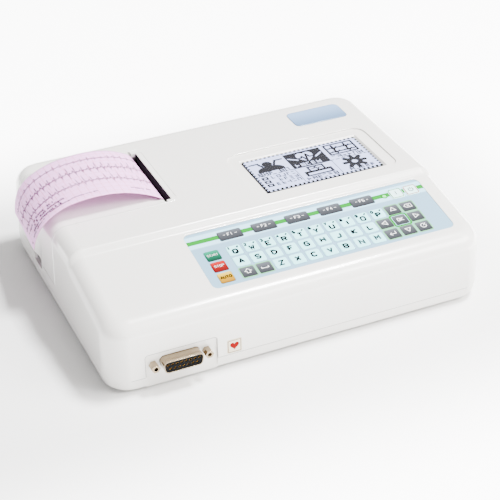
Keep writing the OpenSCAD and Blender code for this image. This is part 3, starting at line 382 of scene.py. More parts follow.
def frame_band(w, l, r, t, at=(0, 0)):
    """The outer t of such a rectangle, as quads."""
    outer = rounded(w, l, r, at=at)
    inner = rounded(w - 2 * t, l - 2 * t, max(0.05, r - t), at=at)
    n = len(outer)
    return [[outer[i], outer[(i + 1) % n], inner[(i + 1) % n], inner[i]] for i in range(n)]


def stroke(points, t):
    """A pen line t wide along points, as quads with mitred joins."""
    p = [Vector(q) for q in points]
    side = []
    for i in range(len(p)):
        a = (p[i] - p[i - 1]).normalized() if i else (p[1] - p[0]).normalized()
        b = (p[i + 1] - p[i]).normalized() if i + 1 < len(p) else a
        n = Vector((-(a + b).y, (a + b).x))
        n = n.normalized() if n.length > 1e-6 else Vector((-a.y, a.x))
        side.append(n * (t / 2 / max(0.5, n.dot(Vector((-a.y, a.x))))))
    return [[p[i] - side[i], p[i + 1] - side[i + 1], p[i + 1] + side[i + 1], p[i] + side[i]]
            for i in range(len(p) - 1)]


def arc(r, a0, a1):
    n = 16
    return [(r * math.cos(math.radians(a0 + (a1 - a0) * k / n)),
             r * math.sin(math.radians(a0 + (a1 - a0) * k / n))) for k in range(n + 1)]


# A plain drawn alphabet: each letter's pen strokes as points on a grid 4 wide and 6 high
GRID_W, GRID_H = 4, 6
PEN_STROKES = {
    "A": "002640 1232", "B": "00063645443303 3342413000", "C": "4536160501103041",
    "D": "00062644422000", "E": "46060040 0333", "F": "460600 0333",
    "G": "45361605011030414323", "H": "0600 4640 0343", "I": "2026", "J": "4641301001",
    "K": "0600 460340", "L": "060040", "M": "0006234640", "N": "00064046",
    "O": "103041453616050110", "P": "00063645443303", "Q": "103041453616050110 2240",
    "R": "00063645443303 2340", "S": "453616050413334241301001", "T": "0646 2620",
    "U": "060110304146", "V": "062046", "W": "0610243046", "X": "0640 4600", "Y": "062346 2320",
    "Z": "06460040", "0": "103041453616050110", "1": "152620", "2": "05163645440040",
    "3": "0516364544334241301001", "4": "30360242", "5": "460603334241301001",
    "6": "4536160501103041423303", "7": "064610", "8": "13334445361605041302011030414233",
    "9": "0110304145361605041343",
}


def lettering(text, height, t, width=0.62, space=0.3):
    """Pen strokes t wide for a centred line. width and space are parts of the height."""
    step = (width + space) * height
    first = -(len(text) - 1) * step / 2
    out = []
    for i, c in enumerate(text):
        for run in PEN_STROKES[c].split():
            points = [((int(x) - GRID_W // 2) / GRID_W * width * height + first + i * step,
                       (int(y) - GRID_H // 2) / GRID_H * height)
                      for x, y in zip(run[::2], run[1::2])]
            out += stroke(points, t)
    return out


def moved(shapes, u, v):
    return [[(q[0] + u, q[1] + v) for q in s] for s in shapes]


# ---------------------------------------------------------------- keypad
# u goes right and v up the slope from the faceplate's front left corner, w stands off the deck
TOP_Z = 59.6  # the case's flat top
SLOPE = math.radians(8.66)
DECK_O = Vector((-53.0, -80.5, 48.108))
DECK_V = Vector((0, math.cos(SLOPE), math.sin(SLOPE)))
DECK_W = Vector((0, -math.sin(SLOPE), math.cos(SLOPE)))
PLATE_TOP, KEY_TOP = -0.3, -0.05
PLATE_LEN = 50.6
LIFT = 0.10  # the height of a printed legend's ink above the film
LAYER = 0.02  # what each print on another print stands above it


def deck(u, v, w):
    return (DECK_O + Vector((u, 0, 0)) + v * DECK_V + w * DECK_W) * MM


def on_key(u, v):
    return deck(u, v, KEY_TOP + LIFT)


def on_plate(layer):
    return lambda u, v: deck(u, v, PLATE_TOP + LIFT + layer * LAYER)


def ramp_paint(low, high, stops):
    """Colours that change up the slope between the distances low and high."""
    def paint(t, at):  # coordinates come in metres
        up = add_node(t, "VectorMath", {0: at, 1: DECK_V * 1000}, operation="DOT_PRODUCT")
        v = add_node(t, "Math", {0: up.outputs["Value"], 1: DECK_O.dot(DECK_V)},
                     operation="SUBTRACT")
        return ramp(t, v.outputs[0], low, high, stops)
    return paint


def col(i):
    """u of the middle of a column of keys, from the left."""
    return 25.1 + 10.8 * i


def row(j):
    """v of the middle of a row of keys, from the front."""
    return 7.4 + 10.2 * j


# The foil's bands up the slope, with the green stripe between the keys and the function keys
BANDS = [(0.0, scaled(FOIL, 1.03)), (36.4, FOIL), (37.6, PALE), (40.45, PALE), (40.6, GREEN),
         (44.1, GREEN), (44.25, PALE), (47.4, PALE), (48.6, FOIL), (PLATE_LEN, scaled(FOIL, 1.02))]
FACEPLATE = surface("faceplate_print", FOIL, rough=0.38, vary=0.015, specular=0.2,
                    paint=ramp_paint(0, PLATE_LEN, [(v / PLATE_LEN, c) for v, c in BANDS]))
dress("keypad_faceplate", bevel=0.12, material=FACEPLATE)


def key_finish(name, v, l, dark, mid, light):
    """Printed foil key, shaded from a dark lower edge to a light upper one."""
    stops = [(0.0, scaled(dark, 0.6)), (0.07, scaled(dark, 0.75)), (0.14, dark), (0.55, mid),
             (0.9, light), (1.0, scaled(light, 1.05))]
    return surface(name, mid, rough=0.34, vary=0.02, specular=0.12,
                   paint=ramp_paint(v - l / 2, v + l / 2, stops))


keys = {}  # node: (u, v, width, length)
for i in range(5):
    keys[f"key_function_{i + 1}"] = (28.4 + 22.6 * i, 42.2, 15.3, 8.0)
keys["key_power_on"] = (143.0, 41.6, 9.2, 9.2)
keys["key_power_off"] = (153.7, 41.6, 9.2, 9.2)
COLOURED_U = 10.8  # the column of start, stop and auto
for name, u, v in (("start", COLOURED_U, row(2)), ("stop", COLOURED_U, row(1)),
                   ("auto", COLOURED_U, row(0)), ("shift", col(0), row(0)),
                   ("space", col(1), row(0)), ("up", col(10), row(2)),
                   ("backspace", col(11), row(2)), ("left", col(9), row(1)),
                   ("ok", col(10), row(1)), ("right", col(11), row(1)),
                   ("enter", col(9), row(0)), ("down", col(10), row(0)),
                   ("escape", col(11), row(0))):
    keys["key_" + name] = (u, v, 9.1, 8.6)
# Each key's colours at its lower edge, its middle and its upper edge
COLOURED = {
    "key_start": ((0.0003, 0.05, 0.026), (0.0004, 0.12, 0.062), (0.004, 0.22, 0.12)),
    "key_stop": ((0.14, 0.0004, 0.0006), (0.22, 0.0005, 0.0008), (0.40, 0.010, 0.012)),
    "key_auto": ((0.34, 0.16, 0.0003), (0.42, 0.23, 0.0004), (0.66, 0.44, 0.04)),
}
GREYS = seen(100, 104, 112), seen(126, 130, 138), seen(156, 160, 168)
grey_rows = {}  # keys of one row share their finish
for n, (u, v, w, l) in keys.items():
    if n in COLOURED:
        m = key_finish(n, v, l, *COLOURED[n])
    elif n.startswith("key_power"):
        m = MATERIALS["key_white"]
    else:
        if v not in grey_rows:
            grey_rows[v] = key_finish(f"grey_key_{len(grey_rows)}", v, l, *GREYS)
        m = grey_rows[v]
    dress(n, bevel=0.1, material=m)
for n in ("letter_keys_top", "letter_keys_middle", "letter_keys_bottom"):
    dress(n, bevel=0.1)

INKS = [flat_ink("ink_black", (0.003, 0.003, 0.004), 0.8, 0.1, 0.0),
        flat_ink("ink_white", srgb(240, 242, 244), 0.5, 0.03, 0.2),
        flat_ink("ink_green", GREEN, 0.5, 0.04, 0.1),
        flat_ink("ink_red", (0.34, 0.03, 0.03), 0.5, 0.04, 0.1),
        flat_ink("ink_pale", PALE, 0.5, 0.02, 0.2),
        flat_ink("ink_soft_green", (0.16, 0.46, 0.22), 0.5, 0.03, 0.1)]
INK_BLACK, INK_WHITE, INK_GREEN, INK_RED, INK_PALE, INK_SOFT = range(6)

# Legends
legends = {
    "letter_keys_top": [(col(i), row(2), c, str((i + 1) % 10)) for i, c in enumerate("QWERTYUIOP")],
    "letter_keys_middle": [(col(i), row(1), c, "") for i, c in enumerate("ASDFGHJKL")],
    "letter_keys_bottom": [(col(i + 2), row(0), c, "") for i, c in enumerate("ZXCVBNM")],
}
for n, marks in legends.items():
    art = Art()
    for u, v, c, digit in marks:
        low = -1.2 if digit else 0.0  # a letter makes room for the digit above it
        art.put(moved(lettering(c, 3.4, 1.12, 0.8), u, v + low), INK_BLACK, on_key)
        if digit:
            art.put(moved(lettering(digit, 1.9, 0.85), u - 3.0, v + 2.3), INK_BLACK, on_key)
            art.put(stroke([(u + 2.1, v + 1.8), (u + 3.2, v + 3.1)], 0.95), INK_BLACK, on_key)
    art.make(n + "_print", INKS, node_body[n])

FINE_PEN, PEN, BOLD_PEN = 0.42, 0.45, 0.5


def triangle(a):
    """Outline of a triangle that points to the angle a."""
    r = 2.1
    p = [(r * math.cos(math.radians(a + k * 120)), r * math.sin(math.radians(a + k * 120)))
         for k in range(3)]
    return stroke([p[0], p[1], p[2], p[0], p[1]], PEN)[:-1]


icons = {
    "key_start": (lettering("START", 1.6, 0.2, 0.6, 0.3), INK_WHITE),
    "key_stop": (lettering("STOP", 1.7, 0.22, 0.62, 0.36), INK_WHITE),
    "key_auto": (lettering("AUTO", 2.0, 0.62, 0.66, 0.26), INK_BLACK),
    "key_shift": (stroke([(-1.0, -1.7), (-1.0, 0), (-2.1, 0), (0, 2.1), (2.1, 0), (1.0, 0),
                          (1.0, -1.7), (-1.0, -1.7)], FINE_PEN), INK_WHITE),
    "key_space": (stroke([(-2.2, 0.3), (-2.2, -0.9), (2.2, -0.9), (2.2, 0.3)], BOLD_PEN),
                  INK_WHITE),
    "key_up": (triangle(90), INK_WHITE),
    "key_down": (triangle(270), INK_WHITE),
    "key_left": (triangle(180), INK_WHITE),
    "key_right": (triangle(0), INK_WHITE),
    "key_backspace": (stroke([(-2.6, 0), (-1.2, 1.5), (2.4, 1.5), (2.4, -1.5), (-1.2, -1.5),
                              (-2.6, 0), (-1.2, 1.5)], FINE_PEN)[:-1]
                      + stroke([(-0.4, 0.7), (1.0, -0.7)], FINE_PEN)
                      + stroke([(-0.4, -0.7), (1.0, 0.7)], FINE_PEN), INK_WHITE),
    "key_ok": (lettering("OK", 2.6, 0.55), INK_WHITE),
    "key_enter": (stroke([(2.0, 1.6), (2.0, -0.6), (-2.0, -0.6)], PEN)
                  + stroke([(-0.7, 0.6), (-2.0, -0.6), (-0.7, -1.8)], PEN), INK_WHITE),
    "key_escape": (stroke(arc(1.8, 60, 380), PEN) + stroke([(0, 0), (1.9, 1.9)], PEN), INK_WHITE),
    "key_power_on": (stroke([(0, -1.5), (0, 1.5)], BOLD_PEN), INK_BLACK),
    "key_power_off": (stroke(arc(1.6, 125, 415), BOLD_PEN)
                      + stroke([(0, 0.2), (0, 2.2)], BOLD_PEN), INK_BLACK),
}
for i in range(5):
    icons[f"key_function_{i + 1}"] = (
        lettering(f"F{i + 1}", 2.2, 0.36) + stroke([(-4.6, 0), (-3.2, 0)], 0.3)
        + stroke([(3.2, 0), (4.6, 0)], 0.3), INK_WHITE)
for n, (shapes, colour) in icons.items():
    u, v, w, l = keys[n]
    art = Art()
    art.put(moved(shapes, u, v + 0.3), colour, on_key)
    if n.startswith("key_power"):
        art.put(frame_band(w - 0.9, l - 0.9, 1.0, 0.45, at=(u, v)),
                INK_GREEN if n.endswith("on") else INK_RED, on_key)
    art.make(n + "_print", INKS, node_body[n])

# Prints on the faceplate: surrounds of the keys and a ring round the LED; and a painted shadow line
# along the faceplate's left edge, the shade of the gap beside it
art = Art()
for n in ("up", "backspace", "left", "right", "enter", "down", "escape", "shift", "space"):
    u, v, w, l = keys["key_" + n]
    art.put(frame_band(w + 1.3, l + 1.3, 1.4, 0.65, at=(u, v)), INK_SOFT, on_plate(0))
u, v, w, l = keys["key_ok"]
art.put(frame_band(w + 3.0, l + 2.8, 1.6, 1.4, at=(u, v)), INK_GREEN, on_plate(1))
art.put(frame_band(w + 0.5, l + 0.5, 1.2, 0.25, at=(u, v)), INK_PALE, on_plate(2))
LED_AT = (134.7, 41.8)
art.put(frame_band(4.6, 4.6, 2.29, 0.75, at=LED_AT), INK_GREEN, on_plate(2))
# Painted shade: a dark line along the faceplate's left edge, standing for the shadow in the gap
# beside it
art.put(stroke([(-0.05, 3.5), (-0.05, 46.8)], 0.35), INK_BLACK,
        lambda u, v: deck(u, v, PLATE_TOP + 0.03))
art.make("faceplate_surrounds_and_edge_shade", INKS, "base")

# ---------------------------------------------------------------- display picture
PX = 0.343  # a dot's pitch; the picture's own measures below are in dots, from its lower left
NX, NY = 240, 123
gx, gy = np.meshgrid(np.arange(NX) + 0.5, np.arange(NY) + 0.5)
lit = np.zeros((NY, NX), bool)


def disc(cx, cy, r):
    return (gx - cx) ** 2 + (gy - cy) ** 2 < r * r


def ellipse(cx, cy, a, b):
    return ((gx - cx) / a) ** 2 + ((gy - cy) / b) ** 2 < 1


def rect(x0, y0, x1, y1):
    return (gx > x0) & (gx < x1) & (gy > y0) & (gy < y1)


def line(x0, y0, x1, y1, t):
    d = np.hypot(x1 - x0, y1 - y0)
    s = np.clip(((gx - x0) * (x1 - x0) + (gy - y0) * (y1 - y0)) / (d * d), 0, 1)
    return np.hypot(gx - x0 - s * (x1 - x0), gy - y0 - s * (y1 - y0)) < t / 2


def path(points, t):
    out = np.zeros_like(lit)
    for a, b in zip(points, points[1:]):
        out |= line(*a, *b, t)
    return out


def wave(x, y, k):
    """One heart beat as points."""
    p = [(0, 0), (5, 0), (7, 3), (9, 0), (12, 0), (14, -3), (17, 17), (20, -7), (22, 0), (27, 0),
         (30, 5), (33, 0), (40, 0)]
    return [(x + q[0] * k, y + q[1] * k) for q in p]


def caption(x, y, n, seed, k):
    """A row of n small marks, each 4 by 5 dots times k, that stands for a line of small print."""
    out = np.zeros_like(lit)
    r = np.random.RandomState(seed)
    # Each bar's box, and how often a mark has it
    bars = ((0, 0, 1, 5, 0.7), (0, 4, 3, 5, 0.6), (0, 2, 3, 3, 0.6), (3, 0, 4, 5, 0.5),
            (0, 0, 3, 1, 0.5))
    for i in range(n):
        x0 = x + i * 5 * k
        shown = [r.rand() for _ in bars]
        if r.rand() < 0.1:  # a space
            continue
        for (a, b, c, d, chance), q in zip(bars, shown):
            if q < chance:
                out |= rect(x0 + a * k, y + b * k, x0 + c * k, y + d * k)
    return out


def heart(cx, cy, k):
    x, y = (gx - cx) / k, (gy - cy) / k
    return (x * x + y * y - 1) ** 3 - x * x * y ** 3 < 0


# Dashed rim and the grid of six cells
DASH = 9
lit |= ~rect(-1, 6.0, NX + 1, NY - 5.0) & ((gx % DASH) < 0.6 * DASH)
lit |= ~rect(3.6, -1, NX - 3.6, NY + 1) & ((gy % DASH) < 0.6 * DASH)
lit |= rect(6, 57, NX - 6, 59) & ((gx % 12) < 8)
lit |= rect(79.5, 6, 81.5, 57) | rect(157.5, 6, 159.5, 57)
# Top left: a person with leads
lit |= disc(41, 96, 10) | (ellipse(41, 74, 27, 16) & rect(0, 70, NX, 92))
lit |= path([(8, 104), (24, 104), (30, 88)], 4.5) | path([(74, 104), (60, 104), (52, 88)], 4.5)
lit |= caption(9, 59, 6, 2, 2.2)
# Top middle, inverted: a heart with its wave
pale = heart(120, 90, 15) & ~path([(98, 90), (110, 90), (114, 96), (119, 78), (124, 102),
                                   (128, 90), (142, 90)], 4)
pale |= path([(86, 96), (101, 86)], 4) | path([(140, 86), (154, 96)], 4)
pale |= caption(88, 61, 6, 3, 2.2)
lit |= rect(81, 57, 158, 114) & ~pale
# Top right: a sheet with traces
lit |= rect(166, 74, 228, 115) & ~rect(169.5, 77.5, 224.5, 111.5)
for x, k in ((172, 0.62), (199, 0.58)):
    for y in (99, 84):
        lit |= path(wave(x, y, k), 3.6)
lit |= caption(166, 61, 6, 4, 2.2)
# Bottom left: a list with ticks
for k, y in enumerate((43, 30, 17)):
    lit |= rect(9, y, 22, y + 10) & ~rect(12.5, y + 3, 18.5, y + 7)
    lit |= caption(28, y, 5, 20 + k, 2.1)
# Bottom middle: a recorder with its paper
lit |= rect(92, 21, 148, 39) & ~rect(97, 25, 143, 32)
lit |= rect(103, 37, 137, 55) & ~rect(106.5, 38, 133.5, 51.5)
lit |= path([(109, 45), (115, 45), (119, 50), (122, 40), (125, 45), (131, 45)], 3)
lit |= caption(87, 8, 6, 7, 2.2)
# Bottom right: a gear
wheel = disc(198, 37, 15)
for k in range(8):
    a = math.radians(45 * k)
    wheel |= line(198, 37, 198 + 21 * math.cos(a), 37 + 21 * math.sin(a), 9)
lit |= wheel & ~disc(198, 37, 6)
lit |= caption(165, 8, 6, 8, 2.2)

# The clear lens is stepped: its raised middle fills the case's opening, and the picture lies
# just under its face
TRAY_DEPTH, LENS_DROP, LENS_GAP, LENS_BEVEL, PICTURE_DROP = 0.9, 0.2, 0.15, 0.1, 0.35
lens_low, lens_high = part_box("lcd_window")
LENS_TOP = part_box("top_shell")[1][2] / MM - TRAY_DEPTH - LENS_DROP
LCD_X, LCD_Y, LCD_Z = 14.5, -10.4, LENS_TOP - PICTURE_DROP
LCD_W, LCD_L = 82.4, 42.2
lens_mid = (LCD_X + LCD_W / 2, LCD_Y + LCD_L / 2)
flange = (lens_high[0] - lens_low[0], lens_high[1] - lens_low[1])
raised = ((LCD_W - 2 * LENS_GAP) * MM, (LCD_L - 2 * LENS_GAP) * MM)
face = tuple((s - 2 * LENS_GAP - 2 * LENS_BEVEL) * MM for s in (LCD_W, LCD_L))
rings = ((flange, lens_low[2]), (flange, lens_high[2]), (raised, lens_high[2]),
         (raised, (LENS_TOP - LENS_BEVEL) * MM), (face, LENS_TOP * MM))
bm = loft([[(lens_mid[0] * MM + x * w / 2, lens_mid[1] * MM + y * l / 2, z)
            for x, y in ((-1, -1), (1, -1), (1, 1), (-1, 1))] for (w, l), z in rings])
lens = place_form(bm, "display_lens", MATERIALS["window"])
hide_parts("lcd_window")


def lcd(u, v, w):
    return Vector((LCD_X + u, LCD_Y + v, LCD_Z + w)) * MM


LCD_INKS = [flat_ink("display_ground", (0.44, 0.50, 0.80), 0.5, 0.015, 0.1),
            flat_ink("display_dots", (0.0035, 0.0035, 0.006), 0.6, 0.06, 0.0)]
DOT_LIFT = 0.12
art = Art()
art.add([lcd(a, b, 0.02) for a, b in ((0.4, 0.3), (82.0, 0.3), (82.0, 41.9), (0.4, 41.9))], 0)
for j in range(NY):
    i = 0
    while i < NX:
        if lit[j, i]:  # one bar for each run of dots
            k = i
            while k < NX and lit[j, k]:
                k += 1
            x0, x1, y0, y1 = i * PX, k * PX, j * PX, (j + 1) * PX
            art.add([lcd(x, y, DOT_LIFT) for x, y in ((x0, y0), (x1, y0), (x1, y1), (x0, y1))], 1)
            i = k
        i += 1
art.make("display_picture", LCD_INKS, "base")

# ---------------------------------------------------------------- paper strip
# The strip's near and far edges as (x, z), from the slot over the lid to the hanging end
NEAR = [(-48.2, 51.0), (-48.2, 55.0), (-48.6, 58.4), (-51.4, 60.4), (-56.9, 63.4), (-67.2, 67.7),
        (-77.7, 70.4), (-88.2, 71.5), (-98.7, 71.3), (-109.2, 69.8), (-116.3, 67.2),
        (-122.1, 63.9), (-127.2, 59.5), (-130.7, 54.2), (-132.8, 49.3), (-133.9, 44.2)]
FAR = [(-48.2, 51.0), (-48.2, 55.0), (-48.7, 59.0), (-53.4, 62.5), (-63.9, 67.0), (-74.9, 69.2),
       (-85.9, 69.6), (-100.6, 67.9), (-112.1, 64.0), (-120.3, 59.1), (-125.7, 52.8),
       (-127.9, 46.8), (-128.9, 41.5), (-129.2, 36.6)]
STEPS, ACROSS = 160, 24
CURVE_PARTS = 24
PAPER_Y0, PAPER_W = 10.0, 59.0


def smooth_line(points, n):
    """n + 1 points evenly spaced along a smooth curve through the given ones, and its length."""
    p = np.array(points, float)
    p = np.vstack([2 * p[0] - p[1], p, 2 * p[-1] - p[-2]])
    out = []
    for i in range(1, len(p) - 2):
        a, b, c, d = p[i - 1:i + 3]
        for k in range(CURVE_PARTS):
            s = k / CURVE_PARTS
            out.append((2 * b + (c - a) * s + (2 * a - 5 * b + 4 * c - d) * s * s
                        + (3 * b - a - 3 * c + d) * s ** 3) / 2)
    out.append(p[-2])
    out = np.array(out)
    run = np.concatenate([[0], np.cumsum(np.hypot(*np.diff(out, axis=0).T))])
    at = np.linspace(0, run[-1], n + 1)
    return np.stack([np.interp(at, run, out[:, 0]), np.interp(at, run, out[:, 1])], 1), run[-1]


near, strip_len = smooth_line(NEAR, STEPS)
far, _ = smooth_line(FAR, STEPS)
SWAY = 0.35  # how far the strip's cross-section bends from a straight line to an S
SLOT_PART = 0.12  # the part of the strip over which its face turns from upright to level


def on_paper(s, t, lift=0.0):
    """Point of the strip: s from 0 at the slot to 1 at its end, t across from the near edge."""
    f = min(max(s, 0), 1) * STEPS
    i = min(int(f), STEPS - 1)
    f -= i
    a = near[i] * (1 - f) + near[i + 1] * f
    b = far[i] * (1 - f) + far[i + 1] * f
    e = t * t * (3 - 2 * t) * SWAY + t * (1 - SWAY)
    p = a * (1 - e) + b * e
    j0, j1 = max(i - 1, 0), min(i + 2, STEPS)
    d = (near[j1] - near[j0]) * (1 - e) + (far[j1] - far[j0]) * e
    d = d / np.hypot(*d)
    n = np.array([d[1], -d[0]])
    # The printed face looks up, and to the left where the end hangs
    n = -n if n[1] < 0 or (abs(n[1]) < 0.2 and n[0] > 0 and s > 0.5) else n
    if s < SLOT_PART:
        n = np.array([1.0, 0.0]) * (1 - s / SLOT_PART) + n * (s / SLOT_PART)
    return Vector((p[0] + n[0] * lift, PAPER_Y0 + PAPER_W * t, p[1] + n[1] * lift)) * MM


mesh = bpy.data.meshes.new("recording_strip")
bm = bmesh.new()
uv = bm.loops.layers.uv.new("paper")
grid = [[bm.verts.new(on_paper(i / STEPS, j / ACROSS)) for j in range(ACROSS + 1)]
        for i in range(STEPS + 1)]
for i in range(STEPS):
    for j in range(ACROSS):
        corners = ((i, j), (i, j + 1), (i + 1, j + 1), (i + 1, j))
        f = bm.faces.new([grid[a][b] for a, b in corners])
        f.smooth = True
        for l, (a, b) in zip(f.loops, corners):
            l[uv].uv = (a / STEPS * strip_len, b / ACROSS * PAPER_W)
bm.to_mesh(mesh)
bm.free()


def paper_paint(t, at):
    """Pink recording paper with a fine and a coarse grid, from the strip's own measure in mm."""
    measure = add_node(t, "UVMap", {}, uv_map="paper")
    part = add_node(t, "SeparateXYZ", {0: measure.outputs["UV"]})

    def math_node(op, a, b, clamp=False):
        return add_node(t, "Math", {0: a, 1: b}, operation=op, use_clamp=clamp).outputs[0]

    def lines(value, pitch, width):
        f = add_node(t, "Math", {0: math_node("DIVIDE", value, pitch)}, operation="FRACT")
        d = add_node(t, "Math", {0: math_node("SUBTRACT", f.outputs[0], 0.5)}, operation="ABSOLUTE")
        return math_node("GREATER_THAN", d.outputs[0], 0.5 - width / pitch / 2)

    fine, bold = (math_node("MAXIMUM", lines(part.outputs[0], pitch, width),
                            lines(part.outputs[1], pitch, width))
                  for pitch, width in ((1.0, 0.12), (5.0, 0.28)))
    amount = math_node("ADD", math_node("MULTIPLY", fine, 0.35), math_node("MULTIPLY", bold, 0.5),
                       clamp=True)
    return mixed(t, amount, seen(249, 233, 245, 1.2), seen(226, 158, 188, 1.3))


PAPER = surface("recording_paper", srgb(243, 217, 224), rough=0.62, vary=0.02, bump=0.2,
                grain=2500, paint=paper_paint, specular=0.15)
strip = link("recording_strip", mesh, [PAPER], "lid")
thick = strip.modifiers.new("thickness", "SOLIDIFY")
thick.thickness = 0.10 * MM
thick.offset = 0
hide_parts("paper_strip")

# Traces and notes printed on the strip
STRIP_INKS = [flat_ink("thermal_print", (0.012, 0.005, 0.010), 0.9, 0.1, 0.0),
              flat_ink("thermal_trace", (0.045, 0.020, 0.030), 0.9, 0.3, 0.0)]
NOTE_INK, TRACE_INK = range(2)
PRINT_LIFT = 0.13
BEAT = 4.6  # paper for one heart beat
TREMOR = 0.55  # the unsteadiness of a recorded line
TAIL = 3  # the unprinted end
art = Art()
rs = np.random.RandomState(11)


def on_strip(x, t):
    return on_paper(x / strip_len, t / PAPER_W, PRINT_LIFT)


def beat(x, k):
    """Height of one lead's trace at x along the paper, with k as its amplitude."""
    p = (x % BEAT) / BEAT
    bumps = ((0.14, 0.05, 0.12), (0.28, 0.022, -0.2), (0.34, 0.03, 1.0), (0.41, 0.028, -0.55),
             (0.66, 0.08, 0.22))
    return k * sum(h * math.exp(-((p - c) / w) ** 2) for c, w, h in bumps)


def trace(t0, amp, phase, uneven, width):
    """One lead, t0 from the strip's near edge, its beats swinging a little in height."""
    pts, x = [], 7.0
    while x < strip_len - TAIL:
        wander = 0.5 * math.sin(x * 0.11 + phase * 3)
        swing = 1 + uneven * math.sin(x * 0.31 + 5 * phase)
        pts.append((x, t0 + beat(x + phase * BEAT, amp * swing) + wander
                    + TREMOR * (rs.rand() - 0.5)))
        x += 0.2
    art.put(stroke(pts, width), TRACE_INK, on_strip)


def note(x0, x1, t0, height):
    """A line of small print along the strip: short dashes of uneven length, some left out."""
    x = x0
    while x < min(x1, strip_len - TAIL):
        w = 0.4 + 0.8 * rs.rand()
        if rs.rand() < 0.8:
            t = t0 + 0.3 * height * (rs.rand() - 0.5)
            art.put(stroke([(x, t), (x + w, t)], height * (0.5 + 0.6 * rs.rand())), NOTE_INK,
                    on_strip)
        x += w + 0.4


trace(49.5, 4.4, 0.1, 0.3, 0.4)
trace(36.0, 10.5, 0.45, 0.3, 0.48)
trace(20.5, 9.0, 0.7, 0.35, 0.48)
for x0, x1, t0, height in ((14, 17, 8.4, 1.5), (19, 27, 8.0, 1.6), (50, 68, 6.8, 1.3),
                           (68, 84, 5.6, 1.5), (70, 96, 10.6, 2.8), (74, 100, 7.2, 2.6),
                           (78, 106, 14.0, 2.8), (88, 110, 4.4, 1.8)):
    note(x0, x1, t0, height)
art.make("strip_print", STRIP_INKS, "lid")


# ---------------------------------------------------------------- plates
def dome(rings):
    """Smooth form lofted through (width, length, corner, height) rings about one centre."""
    return loft([[(x * MM, y * MM, h * MM) for x, y in rounded(w, l, r, 8)]
                 for w, l, r, h in rings], smooth=True)


BADGE_AT = (87.1, 67.5, TOP_Z)


def badge_paint(t, at):
    """A film that pales from the badge's front edge to its back one."""
    part = add_node(t, "SeparateXYZ", {0: at})
    return ramp(t, part.outputs[1], (BADGE_AT[1] - 10) * MM, (BADGE_AT[1] + 10) * MM,
                [(0.1, seen(176, 198, 216)), (0.8, seen(206, 220, 232))])


BADGE = surface("badge_film", seen(196, 210, 224), rough=0.2, vary=0.01, coat=0.6, bump=0,
                paint=badge_paint)
bm = dome([(38.8, 19.8, 3.9, -0.6), (38.8, 19.8, 3.9, 0.05), (38.5, 19.5, 3.75, 0.22),
           (37.9, 18.9, 3.5, 0.30), (36.8, 17.8, 3.0, 0.34), (30.0, 12.0, 2.0, 0.42),
           (16.0, 5.0, 1.2, 0.46)])
badge = place_form(bm, "badge", BADGE,
                   Matrix.Translation(Vector(BADGE_AT) * MM))
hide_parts("name_plate")

# The front wall's own plane: x right, y up and z out of it, from the heart plate's corner
FRONT_AT = (-51.7, -95.0, 10.0)
LEAN = math.radians(1.5)
FRONT = (Matrix.Translation(Vector(FRONT_AT) * MM)
         @ Matrix.Rotation(math.pi / 2 - LEAN, 4, "X"))
HEART_C = (4.6, 0.8 + 4.6)
HEART_R, HEART_LIFT = 2.9, 0.17
bm = dome([(9.2, 9.2, 0.8, -0.5), (9.2, 9.2, 0.8, -0.02), (9.0, 9.0, 0.72, 0.05),
           (8.6, 8.6, 0.6, 0.08)])
heart_plate = place_form(bm, "heart_tile", MATERIALS["plate_white"],
                         FRONT @ Matrix.Translation(Vector((*HEART_C, 0)) * MM))
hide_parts("heart_plate")


def on_front(x, y, lift):
    return FRONT @ (Vector((x, y, lift)) * MM)


def on_tile(x, y):
    return on_front(HEART_C[0] + x, HEART_C[1] + y, HEART_LIFT)


shape = []
for k in range(40):
    a = 2 * math.pi * k / 40
    shape.append((HEART_R * math.sin(a) ** 3,
                  HEART_R / 16 * (13 * math.cos(a) - 5 * math.cos(2 * a) - 2 * math.cos(3 * a)
                                  - math.cos(4 * a)) + 0.3))
art = Art()
art.put([shape[::-1]], 0, on_tile)
art.put(frame_band(8.3, 8.3, 0.5, 0.35), 1, on_tile)
art.make("heart_print", [flat_ink("heart_red", (0.22, 0.0004, 0.0002), 0.5, 0.05, 0.05),
                         flat_ink("tile_outline", (0.16, 0.06, 0.05), 0.6, 0.05, 0.1)], "base")

# Shadow lines of the joints round the connector's panel and between the case halves
shell_low, shell_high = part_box("connector_shell")
PANEL_X = (shell_low[0] + shell_high[0]) / 2 / MM + 1
PANEL_W, PANEL_TOP, PANEL_R, JOINT_FROM = 44.8, 25.1, 2.0, 10.3
SEAM_END, SEAM_GAP = 112.0, 0.3
half = PANEL_W / 2 + 0.1
outline = [(-half, JOINT_FROM)]
for k in range(7):  # the panel's top left corner
    a = math.radians(15 * k)
    outline.append((-half + PANEL_R * (1 - math.cos(a)), PANEL_TOP - PANEL_R * (1 - math.sin(a))))
outline += [(-x, z) for x, z in reversed(outline)]
joints = [([(x + PANEL_X, z) for x, z in outline], 0.26)]
joints += [([(x0, FRONT_AT[2]), (x1, FRONT_AT[2])], 0.22)
           for x0, x1 in ((-SEAM_END, PANEL_X - half - SEAM_GAP),
                          (PANEL_X + half + SEAM_GAP, SEAM_END))]
art = Art()
for points, width in joints:
    art.put(stroke([(x - FRONT_AT[0], z - FRONT_AT[2]) for x, z in points], width), 0,
            lambda x, y: on_front(x, y, 0.05))
art.make("front_joints", [flat_ink("joint_shadow", (0.17, 0.17, 0.175), 0.9, 0.2, 0.0)], "base")
